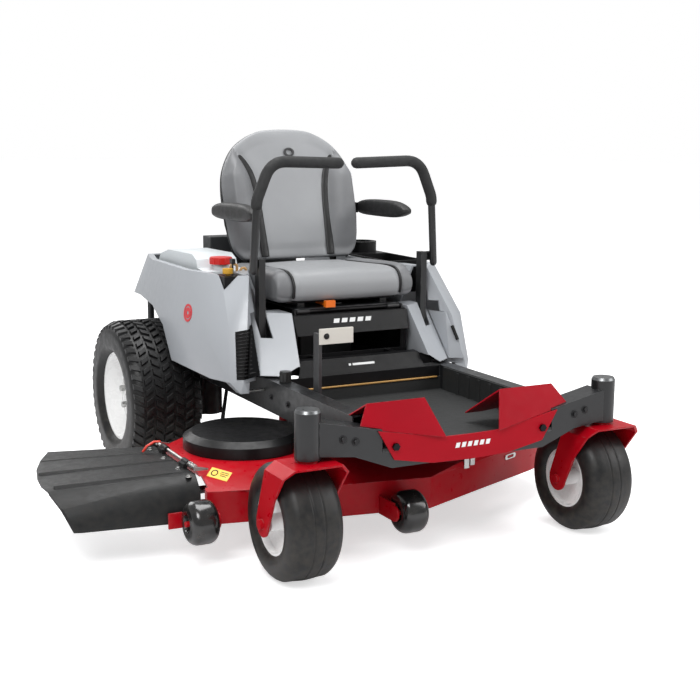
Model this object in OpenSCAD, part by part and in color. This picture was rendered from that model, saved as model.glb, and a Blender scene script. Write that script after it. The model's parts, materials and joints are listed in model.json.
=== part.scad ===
// Zero turn mower: frame, seat, engine, side discharge deck and caster front end.
// Machine axes while modelling: front towards -Y, +Z up, x = 0 on the centre plane,
// y = 0 at the rear axle, z = 0 on the ground. The last step moves the whole machine
// so that the origin is at the middle of its footprint.

/* [Wheels] */
// Outer diameter of the rear drive tyres
rear_tyre_d = 534; // [524:1:538]
// Width of the rear drive tyres
rear_tyre_w = 252; // [236:2:252]
// Distance between the rear tyre centre planes
rear_track = 960; // [958:2:976]
// Outer diameter of the front caster tyres
caster_tyre_d = 330; // [320:1:332]
// Width of the front caster tyres
caster_tyre_w = 163; // [150:1:165]
// Distance between the two caster pivots
caster_track = 978; // [974:2:990]
// Distance of a caster axle behind its pivot
caster_trail = 80; // [70:1:80]

/* [Frame] */
// Distance of the caster pivots ahead of the rear axle
wheelbase = 1338; // [1338:1:1345]
// Width over the outer faces of the two rails
rail_span = 660; // [656:2:664]
// Height of the rail tops above the ground
rail_top = 440; // [438:1:442]
// Height of one rail section
rail_h = 100; // [92:2:100]

/* [Deck] */
// Height of the skirt's lower edge in the transport position
deck_low_z = 105; // [100:1:108]
// Height of the deck's flat top
deck_top_z = 245; // [245:1:248]
// Sideways distance of the outer spindles from the centre
spindle_dx = 420; // [418:1:422]
// Length of one blade
blade_len = 440; // [420:2:440]

/* [Seat] */
// Width of the seat cushion
cushion_w = 500; // [460:5:504]
// Lean of the backrest from upright
back_lean = 16.7; // [14:0.1:18]

/* [Hidden] */
$fn = 48;
side = [1, -1];
wall = 5;
shaft_gap = 0.05;
rear_axle_z = rear_tyre_d / 2;
caster_axle_z = caster_tyre_d / 2;
pivot_x = caster_track / 2;
pivot_y = -wheelbase;
caster_axle_y = pivot_y + caster_trail;
rail_w = 50;
rail_x = rail_span / 2;
rail_in = rail_x - rail_w;
rail_low = rail_top - rail_h;
rail_front = pivot_y + 49;
rail_back = 430;
beam_y = [rail_front - 80, rail_front];
plate_z = rail_top;
plate_t = 6;
floor_z = rail_low + 12;
mat_z = floor_z + 4;
pan_front = beam_y[0];
pan_back = -740;
deck_r = 240;
centre_y = -922;
outer_y = -750;
spindles = [[0, centre_y], [spindle_dx, outer_y], [-spindle_dx, outer_y]];
ridge_z = 200;
pulley_r = 65;
belt_t = 12;
belt_z = 268;
pto_at = [0, 180];
pto_r = 70;
chute_x = -656;
chute_tip_x = -1058;
chute_hinge_z = deck_top_z + 7;
lever_pivot = [-605, 475];
lever_x = 297;
swing_at = [319, 785];
seat_hinge = [-640, 628];
pad_pivot = [-205, 925];
pedal_pivot = [-950, 320];
roller_r = 62;
roller_w = 82;
rollers = [[-115, -1236, 128], [-694, -1090, 137]];
hitch_back = 500;
machine_x = (chute_tip_x + spindle_dx + deck_r) / 2;
machine_y = (hitch_back + caster_axle_y - caster_tyre_d / 2) / 2;

// ---- helpers ----

// Points along an arc in the plane, from angle a0 to a1
function arc(c, r, a0, a1, n = 10) =
    [for (i = [0:n]) c + r * [cos(a0 + (a1 - a0) * i / n), sin(a0 + (a1 - a0) * i / n)]];
function unit(v) = v / norm(v);
function left_of(v) = [-v[1], v[0]];
// A counter-clockwise outline moved inwards by d
function inset(p, d) = [for (i = [0:len(p) - 1])
    let (n1 = left_of(unit(p[i] - p[(i + len(p) - 1) % len(p)])),
         n2 = left_of(unit(p[(i + 1) % len(p)] - p[i])))
    p[i] + (n1 + n2) * d / (1 + n1 * n2)];
function mirrored_pts(p) = [for (i = [len(p) - 1:-1:0]) [-p[i][0], p[i][1]]];

// An outline in (y, z), extruded from x0 to x1
module along_x(x0, x1) {
    translate([x0, 0, 0]) rotate([90, 0, 90]) linear_extrude(x1 - x0) children();
}
// An outline in (x, z), extruded from y0 to y1
module along_y(y0, y1) {
    translate([0, y1, 0]) rotate([90, 0, 0]) linear_extrude(y1 - y0) children();
}
module along_z(z0, z1) {
    translate([0, 0, z0]) linear_extrude(z1 - z0) children();
}
// A block from its low corner to its high corner
module block(a, b) {
    translate(a) cube(b - a);
}
module rod(a, b, r) {
    v = b - a;
    translate(a) rotate([0, acos(v[2] / norm(v)), atan2(v[1], v[0])]) cylinder(r = r, h = norm(v));
}
// A round bar or tube through points (x, z) in the plane y = y0, with round bends
function turn_at(p, i) = let (a = unit(p[i] - p[i - 1]), b = unit(p[i + 1] - p[i]))
    atan2(a[0] * b[1] - a[1] * b[0], a * b);
function cut_at(p, i, bend) = (i == 0 || i == len(p) - 1) ? 0 : bend * tan(abs(turn_at(p, i)) / 2);
module ring(r, bore) {
    difference() {
        circle(r = r);
        if (bore > 0) circle(r = bore);
    }
}
module bent_bar(p, bend, r, bore = 0, y0 = 0) {
    translate([0, y0, 0]) rotate([90, 0, 0]) {
        for (i = [0:len(p) - 2]) {
            u = unit(p[i + 1] - p[i]);
            a = p[i] + u * cut_at(p, i, bend);
            b = p[i + 1] - u * cut_at(p, i + 1, bend);
            translate([a[0], a[1], 0]) rotate([0, 0, atan2(u[1], u[0])]) rotate([0, 90, 0])
                linear_extrude(norm(b - a)) ring(r, bore);
        }
        for (i = [1:1:len(p) - 2]) {
            turn = turn_at(p, i);
            u = unit(p[i] - p[i - 1]);
            start = p[i] - u * cut_at(p, i, bend);
            centre = start + left_of(u) * bend * sign(turn);
            translate([centre[0], centre[1], 0])
                rotate([0, 0, atan2(u[1], u[0]) - 90 * sign(turn) + (turn < 0 ? turn : 0)])
                rotate_extrude(angle = abs(turn)) translate([bend, 0]) ring(r, bore);
        }
    }
}
module pin_x(x0, x1, y, z, r) {
    translate([x0, y, z]) rotate([0, 90, 0]) cylinder(r = r, h = x1 - x0);
}
module both_sides() {
    children();
    mirror([1, 0, 0]) children();
}

// ---- frame ----

module frame_rails() {
    color("dimgray") {
        both_sides() difference() {
            block([rail_in, rail_front, rail_low], [rail_x, rail_back, rail_top]);
            block([rail_in + 4, rail_front - 1, rail_low + 4], [rail_x - 4, rail_back + 1, rail_top - 4]);
        }
        // Pivot bracket of the lift pedal under the right rail
        block([-rail_in - 9, pedal_pivot[0] - 35, 300], [-rail_in - 3, pedal_pivot[0] + 35, rail_low]);
        pin_x(-rail_in - 4, -rail_in + 26, pedal_pivot[0], pedal_pivot[1], 8);
    }
}

// Half outline of the front beam in (x, z), rising outwards to the caster tube
beam_half = [[0, 300], [250, 306], [364, 350], [pivot_x - 20, 362], [pivot_x - 20, 454],
    [rail_in + 1, 415], [rail_in + 1, floor_z], [0, floor_z]];
beam_outline = concat([for (i = [1:6]) beam_half[i]], mirrored_pts([for (i = [1:6]) beam_half[i]]));

module front_beam() {
    color("dimgray") {
        difference() {
            along_y(beam_y[0], beam_y[1]) polygon(beam_outline);
            along_y(beam_y[0] + 4, beam_y[1] - 4) polygon(inset(beam_outline, 4));
            for (s = side) translate([s * pivot_x, pivot_y, 300]) cylinder(r = 34, h = 200);
        }
        for (s = side) translate([s * pivot_x, pivot_y, 0]) difference() {
            translate([0, 0, 353]) cylinder(r = 35, h = 126);
            translate([0, 0, 352]) cylinder(r = 14, h = 128);
        }
    }
}

module frame_fasteners() {
    color("silver") {
        for (s = side) translate([s * pivot_x, pivot_y, 479]) cylinder(r1 = 35, r2 = 31, h = 8);
        for (s = side) translate([s * 243, beam_y[0] - 5, 366]) rotate([90, 0, 0]) {
            cylinder(r = 11, h = 8, $fn = 6);
            translate([0, 0, -5]) cylinder(r = 5.5, h = 5);
        }
    }
}

// Lower edge line of the footrests, which the band's top edge follows
function rest_low_z(x) = 376 + (x - 87) * 0.178;
band_half = [[0, 303], [123, 306], [245, 329], [296, rest_low_z(296)], [87, 376], [0, 375]];
band_outline = concat([for (i = [0:5]) band_half[i]], mirrored_pts([for (i = [1:4]) band_half[i]]));

module front_band() {
    color("indianred") difference() {
        along_y(beam_y[0] - 5, beam_y[0]) polygon(band_outline);
        for (s = side) translate([s * 243, beam_y[0] + 1, 366]) rotate([90, 0, 0]) cylinder(r = 6, h = 8);
    }
}

// Folded sheet of a footrest in (y, z), open at the ends
rest_fold = [[-1392, 364], [-1388, 364], [-1326, 475], [-1204, 388], [-1201, 391], [-1326, 481]];

module footrests() {
    color("firebrick") both_sides() difference() {
        intersection() {
            along_x(60, 370) polygon(rest_fold);
            along_y(-1400, -1190)
                polygon([[87, 376.5], [345, rest_low_z(345) + 0.5], [306, 482], [125, 482]]);
        }
        // Notches for the beam, the rail and the mat's side wall
        along_y(beam_y[0] - 1, beam_y[1] + 1) polygon(inset(beam_outline, -1));
        block([269, -1290, 330], [400, -1150, rail_top + 1]);
    }
}

module floor_pan() {
    color("dimgray") difference() {
        block([-rail_in, pan_front, floor_z], [rail_in, pan_back, mat_z]);
        block([-276, -1000, floor_z - 1], [-256, -900, mat_z + 1]);
    }
}

module rubber_mat() {
    color([0.16, 0.17, 0.17]) difference() {
        union() {
            block([-rail_in, pan_front, mat_z], [rail_in, -762, mat_z + 6]);
            for (s = side) mirror([s < 0 ? 1 : 0, 0, 0]) {
                block([rail_in - 6, rail_front, mat_z + 6], [rail_in, -790, rail_top - 2]);
                for (y = [rail_front + 40:60:-830])
                    block([rail_in - 9, y, mat_z + 6], [rail_in - 6, y + 16, rail_top - 8]);
            }
            block([-rail_in, -768, mat_z + 6], [rail_in, -762, 402]);
        }
        block([-272, -1000, mat_z - 1], [-256, -900, mat_z + 7]);
    }
}

module engine_deck() {
    color([0.2, 0.2, 0.21]) {
        difference() {
            block([-345, -700, plate_z], [345, rail_back, plate_z + plate_t]);
            translate([0, 180, plate_z - 1]) cylinder(r = 60, h = plate_t + 2);
            for (s = side)
                block([s * lever_x - 16, -640, plate_z - 1], [s * lever_x + 16, -570, plate_z + 7]);
        }
        difference() {
            block([-rail_x, rail_back, 330], [rail_x, rail_back + 6, plate_z + plate_t]);
            for (x = [-150, 150]) for (z = [360, 420])
                translate([x, rail_back - 1, z]) rotate([-90, 0, 0]) cylinder(r = 5.5, h = 8);
        }
        difference() {
            block([-60, rail_back + 5, 330], [60, hitch_back, 338]);
            translate([0, 474, 329]) cylinder(r = 9.5, h = 10);
        }
        // Ears and pins the control levers turn on
        for (s = side) {
            for (m = side) block([s * lever_x + m * 17 - 2.5, lever_pivot[0] - 20, plate_z],
                [s * lever_x + m * 17 + 2.5, lever_pivot[0] + 20, lever_pivot[1] + 18]);
            pin_x(s * lever_x - 19, s * lever_x + 19, lever_pivot[0], lever_pivot[1], 9 - shaft_gap);
        }
        // Engine guard
        bent_bar([[-300, 345], [-300, 590], [300, 590], [300, 345]], 40, 13, 0, 447);
    }
}

// ---- operator station ----

module seat_pedestal() {
    color([0.12, 0.12, 0.13]) {
        difference() {
            block([-208, -655, plate_z + plate_t], [208, -170, 620]);
            block([-205, -652, plate_z + plate_t - 1], [205, -173, 621]);
            block([-190, -660, 490], [190, -640, 550]);
        }
        // Hinge ears and pin of the tipping seat plate
        for (s = side) along_x(s * 196 - 3, s * 196 + 3)
            polygon([[-654, 612], [-628, 612], [-632, 634], [-648, 634]]);
        pin_x(-196, 196, seat_hinge[0], seat_hinge[1], 5);
        // Upper front panel
        intersection() {
            along_x(-215, 215) polygon([[-684, 556], [-679, 556], [-656, 618], [-661, 618]]);
            along_y(-700, -640) polygon([[-204, 556], [204, 556], [209, 618], [-209, 618]]);
        }
        // Lower front panel
        intersection() {
            along_x(-232, 232) polygon([[-749, 434], [-744, 434], [-724, 481], [-701, 483],
                [-701, 487], [-727, 485]]);
            along_y(-760, -690) polygon([[-232, 430], [232, 430], [213, 488], [-213, 488]]);
        }
        // Tabs that hold the two panels to the base
        for (s = side) {
            block([s * 140 - 10, -663, 602], [s * 140 + 10, -653, 612]);
            block([s * 140 - 10, -703, 483], [s * 140 + 10, -653, 487]);
        }
    }
}

cover_low = [[238, -785], [345, -707], [345, -560], [238, -560]];
cover_high = [[212, -659], [325, -576], [325, -560], [212, -560]];

module post_cover() {
    difference() {
        hull() {
            along_z(447, 448) polygon(cover_low);
            along_z(627, 628) polygon(cover_high);
        }
        hull() {
            along_z(446, 447) polygon([[242, -777], [341, -703], [341, -555], [242, -555]]);
            along_z(623, 624) polygon([[216, -654], [321, -572], [321, -555], [216, -555]]);
        }
        block([lever_x - 16, -700, 554], [lever_x + 16, -520, 650]);
        // Clearance for the lower front panel's sloping end
        along_y(-800, -690) polygon([[200, 440], [300, 440], [238, 476], [200, 476]]);
    }
}

module post_covers() {
    color("gainsboro") both_sides() post_cover();
}

vent_low = [[347, -713], [392, -735], [394, -729], [347, -706]];
vent_high = [[329, -607], [354, -672], [360, -668], [331, -600]];

// A louvred filler, larger by extra on every side
module vent(extra) {
    hull() {
        along_z(449 - extra, 450) polygon(inset(vent_low, -extra));
        along_z(597, 598 + extra) polygon(inset(vent_high, -extra));
    }
}

module side_vents() {
    color([0.08, 0.08, 0.09]) both_sides() vent(0);
}

pod_in = 256;
pod_low = [[352, -690], [405, -720], [440, -690], [468, -600], [470, -254], [pod_in, -254],
    [pod_in, -556]];
pod_mid = [[352, -655], [374, -679], [425, -655], [468, -520], [470, -100], [442, 230],
    [pod_in, 230], [pod_in, -556]];
pod_top = [[328, -588], [400, -520], [446, -333], [440, 20], [390, 203], [pod_in, 203],
    [pod_in, -410], [304, -470]];
pod_z = [430, 590, 744];
pod_rim = 20;

module rear_pod() {
    difference() {
        union() {
            hull() {
                along_z(pod_z[0], pod_z[0] + 1) polygon(pod_low);
                along_z(pod_z[1], pod_z[1] + 1) polygon(pod_mid);
                along_z(pod_z[2], pod_z[2] + 1) polygon(pod_top);
            }
            hull() {
                along_z(398, 399) polygon([[388, -722], [415, -720], [418, -692], [390, -692]]);
                along_z(431, 432) polygon([[376, -700], [405, -720], [440, -690], [444, -660], [378, -670]]);
            }
        }
        hull() {
            along_z(pod_z[0] - 1, pod_z[0]) polygon(inset(pod_low, wall));
            along_z(pod_z[1] - 1, pod_z[1]) polygon(inset(pod_mid, wall));
            along_z(pod_z[2] - wall, pod_z[2] + 1 - wall) polygon(inset(pod_top, wall));
        }
        along_z(pod_z[2] - 40, pod_z[2] + 9) polygon(inset(pod_top, pod_rim));
        // Wheel arch over the rear tyre
        along_x(200, 500) polygon([[-254, 380], [-254, 428], [-170, 540], [-60, 592], [126, 606],
            [320, 600], [320, 380]]);
        // Room for the post cover, the lever post, the vent and the engine deck
        block([200, -800, 380], [348, -556, 634]);
        block([200, -800, 600], [322, -530, 760]);
        vent(1.5);
        block([200, -800, 380], [347, 260, 448]);
    }
}

module rear_pods() {
    color("whitesmoke") {
        // Left pod with the bay of the tray
        difference() {
            rear_pod();
            block([261.5, -442, 639], [412, -18, 760]);
        }
        // Right pod with the seat of the console and the gap for the hoses
        difference() {
            mirror([1, 0, 0]) rear_pod();
            block([-402, -562, 700], [-328, -410, 760]);
            block([-330, -440, 658], [-262, -400, 780]);
            // Room for the tank's flank inside the rim
            block([-277, -441, 735], [-260.8, 51, 760]);
        }
    }
}

tank_side = [[-405, 610], [-240, 610], [-190, 640], [20, 640], [50, 665], [50, 730], [20, 765],
    [-60, 785], [-290, 790], [-326, 775], [-340, 748], [-405, 742]];

module fuel_tank() {
    color([0.95, 0.96, 0.95]) {
        difference() {
            along_x(-405, -262) polygon(tank_side);
            along_x(-401, -266) polygon(inset(tank_side, 4));
            translate([-335, -372, 730]) cylinder(r = 24, h = 30);
        }
        translate([-335, -372, 738]) difference() {
            cylinder(r = 26, h = 24);
            translate([0, 0, -1]) cylinder(r = 22, h = 26);
        }
    }
}

module fuel_cap() {
    color("red") translate([-335, -372, 763]) {
        cylinder(r = 36, h = 22);
        translate([0, 0, -20]) cylinder(r = 21.95, h = 20);
        for (i = [0:11]) rotate([0, 0, i * 30]) translate([35, 0, 0]) cylinder(r = 3, h = 20, $fn = 16);
    }
}

// Console on the right pod and open tray with cup holder on the left pod
console_side = [[-560, 700], [-412, 700], [-412, 728], [-470, 742], [-560, 742]];
tray_side = [[-440, 640], [-20, 640], [-20, 752], [-440, 752]];

module side_trays() {
    color([0.1, 0.1, 0.11]) {
        difference() {
            along_x(-400, -330) polygon(console_side);
            translate([-372, -520, 720]) cylinder(r = 8, h = 40);
            block([-350, -545, 690], [-344, -455, 760]);
        }
        difference() {
            along_x(262, 410) polygon(tray_side);
            block([267, -435, 646], [405, -185, 760]);
            translate([340, -100, 665]) cylinder(r = 42, h = 100);
        }
        translate([340, -100, 752]) difference() {
            cylinder(r = 56, h = 40);
            translate([0, 0, -1]) cylinder(r = 42, h = 42);
        }
    }
}

module pto_knob() {
    color("gold") translate([-372, -520, 0]) {
        translate([0, 0, 724]) cylinder(r = 7.95, h = 26);
        translate([0, 0, 748]) cylinder(r = 17, h = 16);
    }
}

module throttle_lever() {
    color("black") {
        pin_x(-349.5, -344.5, -500, 706, 5.5);
        along_x(-349.5, -344.5) polygon([[-503, 706], [-497, 706], [-498, 778], [-502, 778]]);
        block([-353, -510, 776], [-341, -490, 792]);
    }
}

module battery() {
    color([0.07, 0.07, 0.08]) block([-95, -480, plate_z + plate_t], [95, -350, 606]);
    color("silver") for (x = [-70, 70]) translate([x, -460, 606]) cylinder(r = 7, h = 8);
}

// ---- engine and drive ----

module engine_block() {
    color([0.25, 0.25, 0.26]) {
        difference() {
            union() {
                block([-120, 80, plate_z + plate_t], [120, 330, 600]);
                for (s = side) translate([s * 60, 200, 520]) rotate([0, s * 55, 0])
                    translate([-55, -60, 60]) cube([110, 120, 100]);
                for (s = side) translate([s * 60, 200, 520]) rotate([0, s * 55, 0])
                    for (i = [0:5]) translate([-62, -67, 66 + i * 16]) cube([124, 134, 5]);
            }
            block([-240, 0, 400], [240, 400, plate_z + plate_t]);
            translate([0, 215, 639]) cylinder(r = 151, h = 140);
        }
        translate([0, 215, 598]) cylinder(r = 110, h = 42);
        // Crankshaft with its clutch pulley under the engine deck
        translate([0, 180, 0]) {
            translate([0, 0, belt_z - 68]) cylinder(r = pto_r, h = 83);
            translate([0, 0, belt_z + 15]) cylinder(r = 85, h = 62);
            translate([0, 0, 342]) cylinder(r = 25, h = plate_z + plate_t - 342);
        }
    }
}

module blower_housing() {
    color([0.1, 0.1, 0.11]) translate([0, 215, 0]) {
        translate([0, 0, 640]) cylinder(r = 150, h = 95);
        translate([0, 0, 735]) cylinder(r1 = 150, r2 = 120, h = 22);
        translate([0, 0, 757]) cylinder(r = 95, h = 18);
    }
}

module air_filter_cover() {
    color("gray") {
        block([-228, -12, 690], [-118, 62, 818]);
        block([-118, 0, 700], [118, 50, 780]);
    }
}

module muffler() {
    color([0.3, 0.29, 0.28]) {
        translate([-110, 385, 500]) rotate([0, 90, 0]) cylinder(r = 38, h = 220);
        rod([95, 385, 500], [150, 400, 470], 14);
    }
}

module transaxles() {
    color([0.1, 0.1, 0.11]) both_sides() difference() {
        union() {
            block([224, -95, 190], [300, 95, 330]);
            pin_x(298, 350, 0, rear_axle_z, 42);
            block([284, -60, 300], [326, 60, rail_low]);
            translate([262, -70, 190]) cylinder(r = 38, h = 120);
        }
        pin_x(236, 360, 0, rear_axle_z, 18);
    }
}

module fuel_hoses() {
    color("tan") {
        bent_bar([[-322, 660], [-322, 766], [-300, 766], [-300, 660]], 10, 4.5, 0, -424);
        bent_bar([[-290, 660], [-290, 752], [-270, 752], [-270, 660]], 9, 4.5, 0, -430);
    }
}

// ---- cutting deck ----

// Skirt outline, counter-clockwise from the nose
deck_skirt = concat([[-8, -1179], [236, -1080]], arc([spindle_dx, outer_y], deck_r, -71.5, 90, 12),
    arc([-spindle_dx, outer_y], deck_r, 90, 150, 6), [[-650, -650], [-650, -1026], [-611, -1040],
    [-533, -1056], [-273, -1132]]);
deck_crown = concat([[-8, -1000], [236, -935]], arc([spindle_dx, outer_y], deck_r - 22, -60, 90, 12),
    arc([-spindle_dx, outer_y], deck_r - 22, 90, 150, 6), [[-646, -655], [-646, -925], [-611, -930],
    [-533, -940], [-273, -978]]);

module deck_form(z0, skirt, crown, t) {
    along_z(z0, ridge_z - t) polygon(skirt);
    hull() {
        along_z(ridge_z - 1 - t, ridge_z - t) polygon(skirt);
        along_z(deck_top_z - 1 - t, deck_top_z - t) polygon(crown);
    }
}

module roller_bracket(at, plate_x, reach) {
    block([plate_x, at[1], at[2] - 24], [plate_x + 6, at[1] + reach, at[2] + 30]);
    pin_x(plate_x, plate_x + 6, at[1], at[2], 24);
    half = roller_w / 2 + 4;
    pin_x(min(plate_x + 1, at[0] - half), max(plate_x + 5, at[0] + half), at[1], at[2], 8);
}

module deck_shell() {
    color("firebrick") {
        difference() {
            deck_form(deck_low_z, deck_skirt, deck_crown, 0);
            deck_form(deck_low_z - 1, inset(deck_skirt, wall), inset(deck_crown, wall), wall);
            for (s = spindles) translate([s[0], s[1], 200]) cylinder(r = 46, h = 100);
            // Discharge opening in the right side wall
            block([-700, -1010, deck_low_z - 1], [-640, -670, 228]);
        }
        // Front lip beside the discharge opening
        along_z(deck_low_z, 150) polygon([[-762, -1021], [-645, -1023], [-645, -1018], [-762, -1016]]);
        roller_bracket(rollers[0], -166, 88);
        roller_bracket(rollers[1], -648, 66);
        // Hanger tabs
        for (s = side) {
            block([s * 200 - 3, -590, deck_top_z - 2], [s * 200 + 3, -540, 305]);
            block([s * 190 - 3, -900, deck_top_z - 2], [s * 190 + 3, -860, 300]);
        }
    }
}

module belt_cover() {
    difference() {
        union() {
            translate([spindle_dx, outer_y, deck_top_z]) cylinder(r = 185, h = 34);
            translate([spindle_dx, outer_y, deck_top_z + 34]) cylinder(r1 = 185, r2 = 160, h = 16);
            block([205, outer_y - 95, deck_top_z], [spindle_dx, outer_y + 60, deck_top_z + 46]);
        }
        translate([spindle_dx, outer_y, deck_top_z - 1]) cylinder(r = 181, h = 34);
        translate([spindle_dx, outer_y, deck_top_z + 33]) cylinder(r1 = 181, r2 = 159, h = 13);
        block([204, outer_y - 91, deck_top_z - 1], [spindle_dx, outer_y + 56, deck_top_z + 42]);
        // Belt exits
        block([190, -960, deck_top_z - 1], [330, -500, deck_top_z + 41]);
        block([385, -600, belt_z - 6], [445, -540, belt_z + 16]);
    }
}

module belt_covers() {
    color([0.1, 0.1, 0.11]) both_sides() belt_cover();
}

module spindle_housings() {
    color("darkgray") for (s = spindles) translate([s[0], s[1], 0]) difference() {
        union() {
            translate([0, 0, 205]) cylinder(r = 45.9, h = deck_top_z - 205);
            translate([0, 0, deck_top_z]) cylinder(r = 72, h = 8);
            translate([0, 0, deck_top_z + 8]) cylinder(r1 = 46, r2 = 40, h = belt_z - deck_top_z - 15);
        }
        translate([0, 0, 200]) cylinder(r = 12.5 + shaft_gap, h = 100);
    }
}

module belt_path(extra) {
    hull() {
        for (s = spindles) translate(s) circle(r = pulley_r + extra);
        translate(pto_at) circle(r = pto_r + extra);
    }
}

module deck_belt() {
    color([0.08, 0.08, 0.08]) along_z(belt_z, belt_z + 10) difference() {
        belt_path(belt_t);
        belt_path(0.2);
    }
}

module chute_hinge() {
    color("silver") {
        for (y = [-960, -640]) along_y(y - 3, y + 3)
            polygon([[-620, deck_top_z], [-620, deck_top_z + 4], [chute_x - 6, chute_hinge_z + 7],
                [chute_x - 7, chute_hinge_z - 5], [-648, deck_top_z]]);
        translate([chute_x, -955, chute_hinge_z]) rotate([-90, 0, 0]) cylinder(r = 5, h = 310);
    }
}

// Sections of the deflector in (y, z) at the hinge end and at the free end
chute_near = [[-1012, 112], [-620, 112], [-620, 238], [-968, 238], [-1006, 200]];
chute_far = [[-952, 112], [-436, 112], [-436, 217], [-862, 211], [-926, 172]];
chute_near_in = [[-1007, 100], [-612, 100], [-612, 233], [-966, 233], [-1001, 198]];
chute_far_in = [[-947, 100], [-428, 100], [-428, 212], [-860, 206], [-921, 170]];
// Plan of the deflector, whose free end is a round lobe
chute_plan = [[-640, -1040], [-640, -400], [-925, -400], [-962, -493], [-1001, -564], [-1033, -646],
    [-1051, -729], [-1058, -800], [-1054, -870], [-1038, -925], [-1010, -955], [-968, -971],
    [-960, -1040]];

// Ribs of the deflector: y at the hinge, x and y at the free end
chute_ribs = [[-935, -1035, -850], [-800, -1040, -700], [-690, -1000, -575]];

module discharge_chute() {
    color([0.13, 0.13, 0.14]) difference() {
        union() {
            intersection() {
                difference() {
                    hull() {
                        along_x(chute_x - 6, chute_x - 5) polygon(chute_near);
                        along_x(chute_tip_x - 2, chute_tip_x - 1) polygon(chute_far);
                    }
                    hull() {
                        along_x(chute_x - 5, chute_x - 4) polygon(chute_near_in);
                        along_x(chute_tip_x - 3, chute_tip_x - 2) polygon(chute_far_in);
                    }
                }
                along_z(90, 260) polygon(chute_plan);
            }
            // Stiffening ribs along the top
            for (r = chute_ribs) hull() {
                along_x(chute_x - 14, chute_x - 12)
                    polygon([[r[0] - 7, 232], [r[0] + 7, 232], [r[0], 241.5]]);
                along_x(r[1], r[1] + 2) polygon([[r[2] - 7, 209], [r[2] + 7, 209], [r[2], 221.5]]);
            }
            // Hinge knuckles
            for (y = [-900, -720]) {
                translate([chute_x, y, chute_hinge_z]) rotate([-90, 0, 0]) cylinder(r = 9, h = 40);
                block([chute_x - 16, y, 232], [chute_x - 4, y + 40, chute_hinge_z]);
            }
        }
        translate([chute_x, -1000, chute_hinge_z]) rotate([-90, 0, 0])
            cylinder(r = 5 + shaft_gap, h = 400);
    }
}

module blade_unit(at) {
    color("slategray") translate([at[0], at[1], 0]) {
        difference() {
            union() {
                translate([-blade_len / 2, -30, 118]) cube([blade_len, 60, 6]);
                // Lift wings on the trailing edges
                for (a = [0, 180]) rotate([0, 0, a])
                    translate([blade_len / 2 - 90, 24, 118]) rotate([35, 0, 0]) cube([88, 30, 5]);
            }
            translate([0, 0, 100]) cylinder(r = 12, h = 40);
        }
    }
    color("silver") translate([at[0], at[1], 0]) {
        translate([0, 0, 110]) cylinder(r = 20, h = 8, $fn = 6);
        translate([0, 0, 118]) cylinder(r = 12, h = 6);
        translate([0, 0, 124]) cylinder(r = 24, h = 80.5);
        translate([0, 0, 204]) cylinder(r = 12.5, h = belt_z + 15 - 204);
        translate([0, 0, belt_z - 5]) cylinder(r = pulley_r, h = 17);
    }
}

module blade_centre() { blade_unit(spindles[0]); }
module blade_left() { blade_unit(spindles[1]); }
module blade_right() { blade_unit(spindles[2]); }

roller_half = concat(arc([roller_r - 26, roller_w / 2 - 26], 26, 0, 90, 8),
    [[26, roller_w / 2], [22, roller_w / 2 - 14]]);

module roller(at) {
    color([0.07, 0.07, 0.07]) translate(at) rotate([0, 90, 0]) rotate_extrude()
        polygon(concat([[8 + shaft_gap, -roller_w / 2 + 14], [22, -roller_w / 2 + 14],
            [26, -roller_w / 2]], arc([roller_r - 26, -roller_w / 2 + 26], 26, -90, 0, 8),
            roller_half, [[8 + shaft_gap, roller_w / 2 - 14]]));
}

module roller_front() { roller(rollers[0]); }
module roller_right() { roller(rollers[1]); }

// ---- wheels ----

// Half of a tyre's outside in (radius, width), from the bead to the crown
function tyre_half(ro, rb, w, s) = concat([[rb, 0.4 * w], [rb + 10, 0.4 * w]],
    [for (a = [0:15:90]) [ro - s + s * sin(a), w / 2 - s + s * cos(a)]]);
function flip(p) = [for (i = [len(p) - 1:-1:0]) [p[i][0], -p[i][1]]];

module tyre(ro, rb, w, s, t) {
    rotate_extrude() difference() {
        polygon(concat(tyre_half(ro, rb, w, s), flip(tyre_half(ro, rb, w, s))));
        polygon(concat([[rb - 2, 0.4 * w - t], [rb + 10, 0.4 * w - t]],
            [for (a = [0:15:90]) [ro - s + (s - t) * sin(a), w / 2 - s + (s - t) * cos(a)]],
            [for (a = [90:-15:0]) [ro - s + (s - t) * sin(a), -w / 2 + s - (s - t) * cos(a)]],
            [[rb + 10, -0.4 * w + t], [rb - 2, -0.4 * w + t]]));
    }
}

// Pressed rim: barrel with rolled edges and a dished disc
module rim_shell(rb, w, dish_r, dish_z, disc_z, hub_r) {
    h = 0.4 * w;
    rotate_extrude() {
        polygon([[rb - 4, -h - 3], [rb + 9, -h - 3], [rb + 9, -h], [rb, -h], [rb, h], [rb + 9, h],
            [rb + 9, h + 3], [rb - 4, h + 3]]);
        polygon([[rb - 3, disc_z], [dish_r, dish_z], [hub_r, dish_z], [hub_r, dish_z + 4],
            [dish_r + 2, dish_z + 4], [rb - 3, disc_z + 5]]);
    }
}

rear_bead_r = 152;
caster_bead_r = 88;

module rear_tyre(s) {
    color([0.08, 0.08, 0.08]) translate([s * rear_track / 2, 0, rear_axle_z]) rotate([0, s * 90, 0])
        tyre(rear_tyre_d / 2, rear_bead_r, rear_tyre_w, 46, 14);
}

module rear_rim(s) {
    color("white") translate([s * rear_track / 2, 0, rear_axle_z]) rotate([0, s * 90, 0]) {
        rim_shell(rear_bead_r, rear_tyre_w, 78, 58, 34, 16);
        for (i = [0:4]) rotate([0, 0, i * 72]) translate([50, 0, 60]) cylinder(r = 10, h = 16, $fn = 6);
        translate([0, 0, -70]) cylinder(r = 30, h = 134);
        translate([0, 0, -180]) cylinder(r = 18 - shaft_gap, h = 112);
    }
}

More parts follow.
